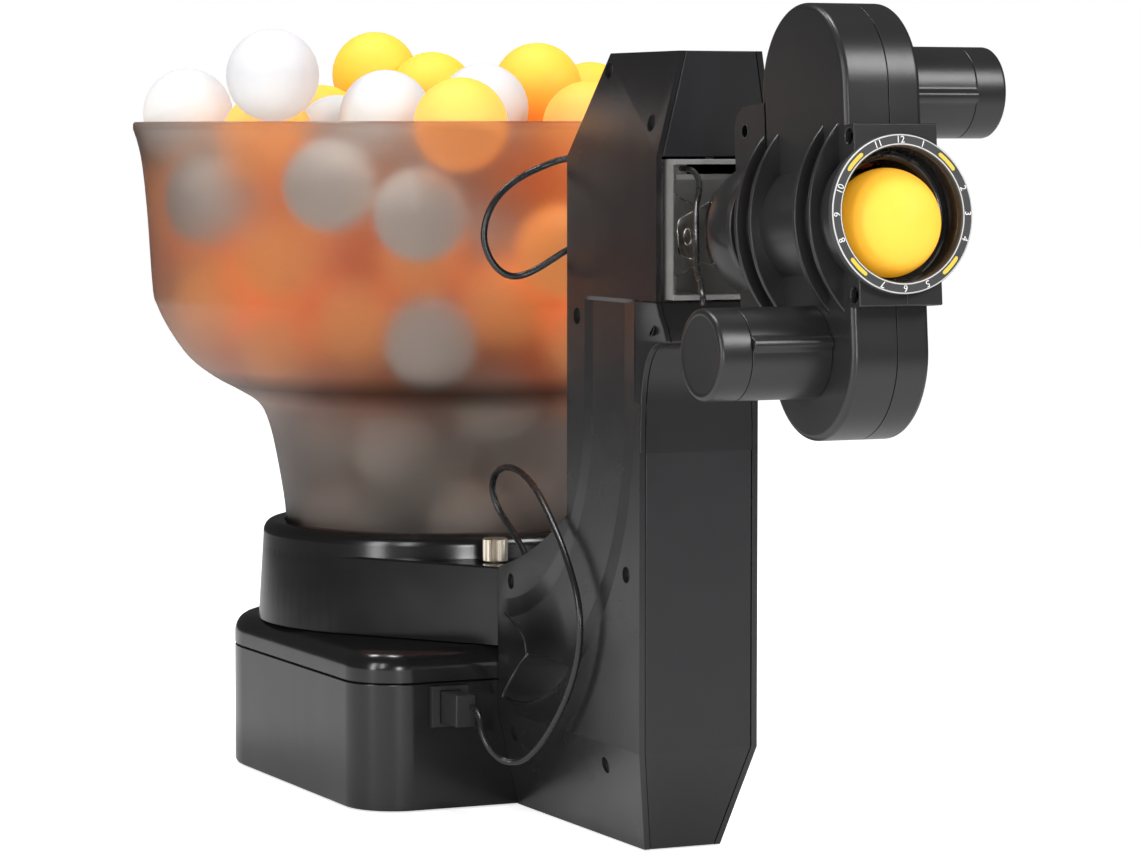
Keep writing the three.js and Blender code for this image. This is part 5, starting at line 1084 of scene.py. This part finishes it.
def make_fins():
    """Four blades round the barrel. Seen along the nozzle each is a lens: two arcs of one radius that
    meet in a point above and below, so its reach at an angle t is the root of R2 - c2 sin2 t, less
    c times the cosine of t."""
    arc_radius, reach = 51 * MM, 29.3 * MM
    centre = arc_radius - reach
    turn = np.linspace(0, 2 * np.pi, 240, endpoint=False)
    outer = np.sqrt(arc_radius**2 - (centre * np.sin(turn)) ** 2) - centre * np.abs(np.cos(turn))
    profile = [(-1.1, 0.9), (-0.95, 0.35), (-0.5, 0.05), (0.0, 0.0), (0.5, 0.05), (0.95, 0.35), (1.1, 0.9)]
    shell = Shell()
    for place in (53.9, 65.5, 100.8, 112.4):
        rows = [np.full_like(turn, 23.5 * MM)] + [outer - back * MM for _, back in profile]
        rows = np.stack(rows + [np.full_like(turn, 23.5 * MM)])
        across = np.array([-1.1] + [offset for offset, _ in profile] + [1.1])[:, None] * MM
        points = aimed(rows * np.cos(turn), place * MM + across, rows * np.sin(turn))
        shell.grid(points, ring=True, loop=True)
    piece("barrel_fins", shell, HEAD, "head", (), 40)


def make_lug(name, side):
    """The plate behind a wheel housing: rounded at its rear corner, and hollowed below by the barrel."""
    shell = Shell()
    top = 47 * MM
    front = 56.8 * MM
    rows = []
    for x in np.concatenate([[-16, -16, -15.6], np.linspace(-15, 15, 13), [15.6, 16, 16]]) * MM:
        ease = 0.4 * MM if abs(x) > 15.9 * MM else 0.0
        low = math.sqrt(HOUSING_FOOT_RADIUS**2 - x**2)
        corner = arc((39.5 * MM, 37.5 * MM), 9.5 * MM - ease, 90, 180, 16)
        line = np.concatenate([
            [(front, top - ease)], corner,
            [(30 * MM + ease, 30 * MM), (30 * MM + ease, low), (front, low)],
        ])
        rows.append(aimed(x, line[:, 0], line[:, 1] * side))
    rows = np.stack(rows)
    shell.grid(rows, ring=True).lid(rows[0]).lid(rows[-1])
    piece(name, shell, HEAD, "head", (), 40)
    well = aimed(np.array(-16 * MM), np.array(39.2 * MM), np.array(37.5 * MM * side))
    make_well(name + "_well", well, np.array([-1.0, 0.0, 0.0]), 2.6 * MM, HEAD, "head")


def make_dial():
    """The ring that shows how far the head is turned: numbers in four groups with a bar between them."""
    profile = np.array([
        (24.7, 127.3), (28.7, 127.3), (29.0, 127.6), (29.0, 129.8), (28.6, 130.3), (25.1, 130.3),
        (24.6, 129.8),
    ]) * MM
    ring = aimed_lathe(profile, 192)
    piece("dial_ring_print", ring, DIAL, "head", ("dial_ring",), 40)
    shell = Shell()
    for middle in (45, 135, 225, 315):
        turn = np.radians(np.linspace(middle - 9.5, middle + 9.5, 20))
        across = np.sqrt(np.clip(1 - ((np.linspace(-1, 1, 20)) ** 12), 0, 1)) * 0.75 * MM
        rows = DIAL_PRINT_RADIUS + np.stack([-across, -across, across, across])
        forward = DIAL_FACE + np.array([-0.05, 0.12, 0.12, -0.05])[:, None] * MM
        shell.grid(aimed(rows * np.cos(turn), forward, rows * np.sin(turn)), loop=True)
    piece("dial_bars", shell, YELLOW_BAR, "head", (), 40)
    groups = {90: ("11", "12", "1"), 0: ("2", "3", "4"), 270: ("5", "6", "7"), 180: ("8", "9", "10")}
    for middle, words in groups.items():
        for place, word in zip((20, 0, -20), words):
            dial_number(word, middle + place)


def dial_number(word, degrees):
    """A raised number on the ring's face, its foot towards the middle of the ring."""
    curve = bpy.data.curves.new("number", "FONT")
    curve.body = word
    curve.size = 3.6 * MM
    curve.align_x = "CENTER"
    curve.align_y = "CENTER"
    curve.extrude = 0.06 * MM
    curve.resolution_u = 3
    shape = bpy.data.objects.new("number", curve)
    bpy.context.scene.collection.objects.link(shape)
    bpy.context.view_layer.update()
    data = bpy.data.meshes.new_from_object(shape.evaluated_get(bpy.context.evaluated_depsgraph_get()))
    bpy.data.objects.remove(shape)
    bpy.data.curves.remove(curve)
    points = np.zeros(len(data.vertices) * 3, np.float32)
    data.vertices.foreach_get("co", points)
    points = points.reshape(-1, 3)
    turn = math.radians(degrees)
    lean = turn - math.pi / 2
    radius = DIAL_PRINT_RADIUS
    across = radius * math.cos(turn) + points[:, 0] * math.cos(lean) - points[:, 1] * math.sin(lean)
    height = radius * math.sin(turn) + points[:, 0] * math.sin(lean) + points[:, 1] * math.cos(lean)
    placed = aimed(across, DIAL_FACE + 0.04 * MM + points[:, 2], height)
    data.vertices.foreach_set("co", placed.astype(np.float32).ravel())
    data.update()
    piece(f"number_{word}", data, NUMERAL, "head", (), 30)


def make_motor(name, side):
    """A motor sleeve and its cap: lathe shapes about the wheel's axle, with a cable rib along the front."""
    z = side * WHEEL_HEIGHT
    turn = np.linspace(0, 2 * np.pi, 192, endpoint=False)
    rib_turn = math.radians(-10 * side)
    off = np.angle(np.exp(1j * (turn - rib_turn)))
    bump = 1.9 * MM * np.exp(-((off * 17.1 / 2.1) ** 4))

    def lathe(levels, rib_share):
        """Rings of (radius, distance across) in mm about the axle, raised along the rib by a share."""
        levels = np.array(levels)
        radius = levels[:, :1] * MM + bump * np.array(rib_share)[:, None]
        across = side * levels[:, 1:] * MM
        return aimed(across, WHEEL_FORWARD + radius * np.cos(turn), z + radius * np.sin(turn))

    sleeve = lathe([(14.3, 16.3), (17.1, 16.3), (17.1, 48.2), (16.9, 48.5), (14.3, 48.5)], [0, 1, 1, 1, 0])
    shell = Shell().grid(sleeve, ring=True, loop=True)
    piece(f"{name}_sleeve_shape", shell, HEAD, "head", (f"{name}_motor_sleeve",), 40)
    cap = lathe(
        [
            (14.3, 48.75), (16.85, 48.75), (17.1, 49.05), (17.1, 59.9), (16.9, 60.7), (16.4, 61.3),
            (15.5, 61.5), (14.6, 61.45), (14.3, 61.2), (0.05, 61.2),
        ],
        [0] * 10,
    )
    shell = Shell().grid(cap, ring=True).lid(cap[-1]).lid(cap[0])
    piece(f"{name}_cap_shape", shell, HEAD, "head", (f"{name}_motor_cap",), 40)


def make_cup():
    """The ball-shaped cup behind the barrel: a slice of a sphere with a flat pocket for each clear arm."""
    start, end = math.asin(-17 / 28), math.asin(9 / 28)
    tilt = np.linspace(start, end, 28)
    outer = np.stack([28 * np.cos(tilt), 33 + 28 * np.sin(tilt)], 1)
    inner = np.array([(20.7, 42.0), (20.7, 34.0), (20.7, 24.0), (20.7, 16.0)])
    turn = np.linspace(0, 2 * np.pi, 192, endpoint=False)
    radius, forward = (np.concatenate([outer, inner]) * MM).T
    x = radius[:, None] * np.cos(turn)
    h = radius[:, None] * np.sin(turn)
    d = np.broadcast_to(forward[:, None], x.shape)
    pocket = (np.abs(h) < 13.3 * MM) & (d < 26 * MM)
    x = np.where(pocket, np.clip(x, -21.5 * MM, 21.5 * MM), x)
    shell = Shell().grid(aimed(x, d, h), ring=True, loop=True)
    piece("cup_shape", shell, HEAD, "cup", ("throat_cup",), 35)


def make_head():
    """The shooting head: two wheel housings, the barrel with its fins and lugs, the nozzle and the motors."""
    make_wheel_housing("wheel_housing_upper", 1, "head_half_left")
    make_wheel_housing("wheel_housing_lower", -1, "head_half_right")
    make_barrel()
    make_fins()
    make_lug("lug_upper", 1)
    make_lug("lug_lower", -1)
    copied("nozzle_block", HEAD, "head", edge=0.5 * MM)
    make_dial()
    make_motor("upper", 1)
    make_motor("lower", -1)
    make_cup()


make_base()
make_collar()
make_thumb_screw("thumb_screw_left_shape", -19.5 * MM, "thumb_screw_left", "thumb_left")
make_thumb_screw("thumb_screw_right_shape", 19.5 * MM, "thumb_screw_right", "thumb_right")
make_hopper()
make_balls()
make_head()
for node in ("side_panel_left", "side_panel_right"):
    copied(node, PANEL, "base", level=(TOWER_RECESS_HALF_WIDTH, TOWER_HALF_WIDTH))
for node in ("arm_cover", "back_panel", "lower_front_panel", "top_front_cover", "tower_floor"):
    copied(node, SATIN, "base")
make_chin()
for name, side in (("left", -1), ("right", 1)):
    make_leaf("leaf_" + name, side)
    # The leaf's edge bead gets the painted highlight.
    make_bead("leaf_edge_" + name, side, [(121, 48), (130, 55.6), (139, 62.8), (148, 69.8)], 1.0, EDGE_HIGHLIGHT_PAINT)
    crease = [(123, 84.7), (131.5, 81.6), (139.5, 78.2), (144.2, 75), (145.6, 72), (146, 69)]
    make_bead("crease_" + name, side, crease, 0.55, CHIN)
copied("head_socket", CONNECTOR, "base", edge=0.3 * MM)
copied("yoke", YOKE_CLEAR, "yoke", edge=0.25 * MM)
copied("tilt_arm_left", CLEAR, "cup", edge=0.25 * MM)
copied("tilt_arm_right", CLEAR, "cup", edge=0.25 * MM)

FINISHES = {
    "foot_1": RUBBER, "foot_2": RUBBER, "foot_3": RUBBER, "foot_4": RUBBER, "tower_pad": RUBBER,
    "turntable_pan": WHITE_PLASTIC, "turntable": WHITE_PLASTIC, "feed_bend": WHITE_PLASTIC,
    "feed_riser": WHITE_PLASTIC, "top_guide": WHITE_PLASTIC, "feed_gearbox": STEEL, "feed_motor": STEEL,
    "swing_gearbox": STEEL, "swing_motor": STEEL, "upper_motor": STEEL, "lower_motor": STEEL,
    "swing_deck": SATIN, "control_board": BOARD, "power_inlet": CONNECTOR, "remote_jack": CONNECTOR,
    "upper_wheel_hub": WHITE_PLASTIC, "lower_wheel_hub": WHITE_PLASTIC, "upper_wheel_tyre": TYRE,
    "lower_wheel_tyre": TYRE, "clamp_bolt_upper": DARK_STEEL, "clamp_bolt_lower": DARK_STEEL,
    "lug_bolt_upper": DARK_STEEL, "lug_bolt_lower": DARK_STEEL,
}
for node, finish in FINISHES.items():
    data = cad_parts[node].data
    data.materials.clear()
    data.materials.append(finish)

# Floor, light and backdrop
GLOW_NEAR = 0.7
GLOW_FAR = 0.06
GLOW_FADE = 1.45


def make_floor():
    """A pale sheet that shows bright to the camera and keeps the robot's shadow. In reflections it fades
    to a dim tone with distance, as a table in a dim room does."""
    data = bpy.data.meshes.new("floor")
    data.from_pydata([(-6, -6, 0), (6, -6, 0), (6, 8, 0), (-6, 8, 0)], [], [(0, 1, 2, 3)])
    floor = bpy.data.objects.new("floor", data)
    bpy.context.scene.collection.objects.link(floor)
    material, shader, place = finish_of("floor_paper")
    feed(place, shader, Base_Color=(0.8, 0.8, 0.8), Roughness=0.7)
    ray = place.node("LightPath")
    seen = GLOW_NEAR * place.out(ray, "Is Camera Ray")
    glow = place.node("Emission", {}, Color=(1, 1, 1, 1), Strength=seen)
    near = place.node("AddShader", {}, _0=place.out(shader), _1=place.out(glow))
    distance = place.out(place.node("VectorMath", {"operation": "LENGTH"}, _0=place), "Value")
    past = distance.over(GLOW_FADE, 0.9) * place.out(ray, "Is Glossy Ray")
    far = place.node("Emission", {}, Color=(1, 1, 1, 1), Strength=GLOW_FAR)
    to_surface(place, place.node("MixShader", {}, _0=past, _1=place.out(near), _2=place.out(far)))
    data.materials.append(material)


def make_backdrop():
    """White behind the robot, a softer light from all sides, and a dark room in its reflections."""
    world = bpy.data.worlds.new("studio")
    bpy.context.scene.world = world
    world.use_nodes = True
    background = world.node_tree.nodes["Background"]
    background.inputs["Color"].default_value = (1, 1, 1, 1)
    rays = world.node_tree.nodes.new("ShaderNodeLightPath")
    camera, shiny, clear = (
        Flow(world.node_tree, rays.outputs[f"Is {kind} Ray"]) for kind in ("Camera", "Glossy", "Transmission")
    )
    strength = 0.55 * camera.most(shiny.most(clear)) + 0.45 - 0.94 * shiny - 0.2 * clear
    strength.into(background, "Strength")


def softbox(name, place, target, size, energy):
    """A square studio lamp that faces its target."""
    data = bpy.data.lights.new(name, "AREA")
    data.shape = "RECTANGLE"
    data.size, data.size_y = size
    data.energy = energy
    lamp = bpy.data.objects.new(name, data)
    lamp.location = place
    direction = Vector(target) - Vector(place)
    lamp.rotation_euler = direction.to_track_quat("-Z", "Y").to_euler()
    bpy.context.scene.collection.objects.link(lamp)


make_floor()
make_backdrop()
softbox("key", (0.9, -1.7, 1.3), (0, -0.15, 0.2), (0.7, 0.7), 21)
softbox("fill", (-1.7, -1.5, 0.9), (0, -0.1, 0.2), (0.35, 1.1), 10)
softbox("top", (-0.1, -0.15, 1.9), (0, -0.1, 0.2), (0.4, 0.4), 14)
softbox("rear", (-0.75, 0.45, 1.9), (0, -0.1, 0.2), (0.27, 0.27), 8)
softbox("left", (-1.3, -0.55, 0.42), (0, -0.1, 0.15), (0.22, 0.8), 6)
softbox("low", (-0.45, -2.1, 0.3), (0, -0.1, 0.15), (0.3, 0.5), 9)
bpy.context.scene.view_settings.view_transform = "Standard"
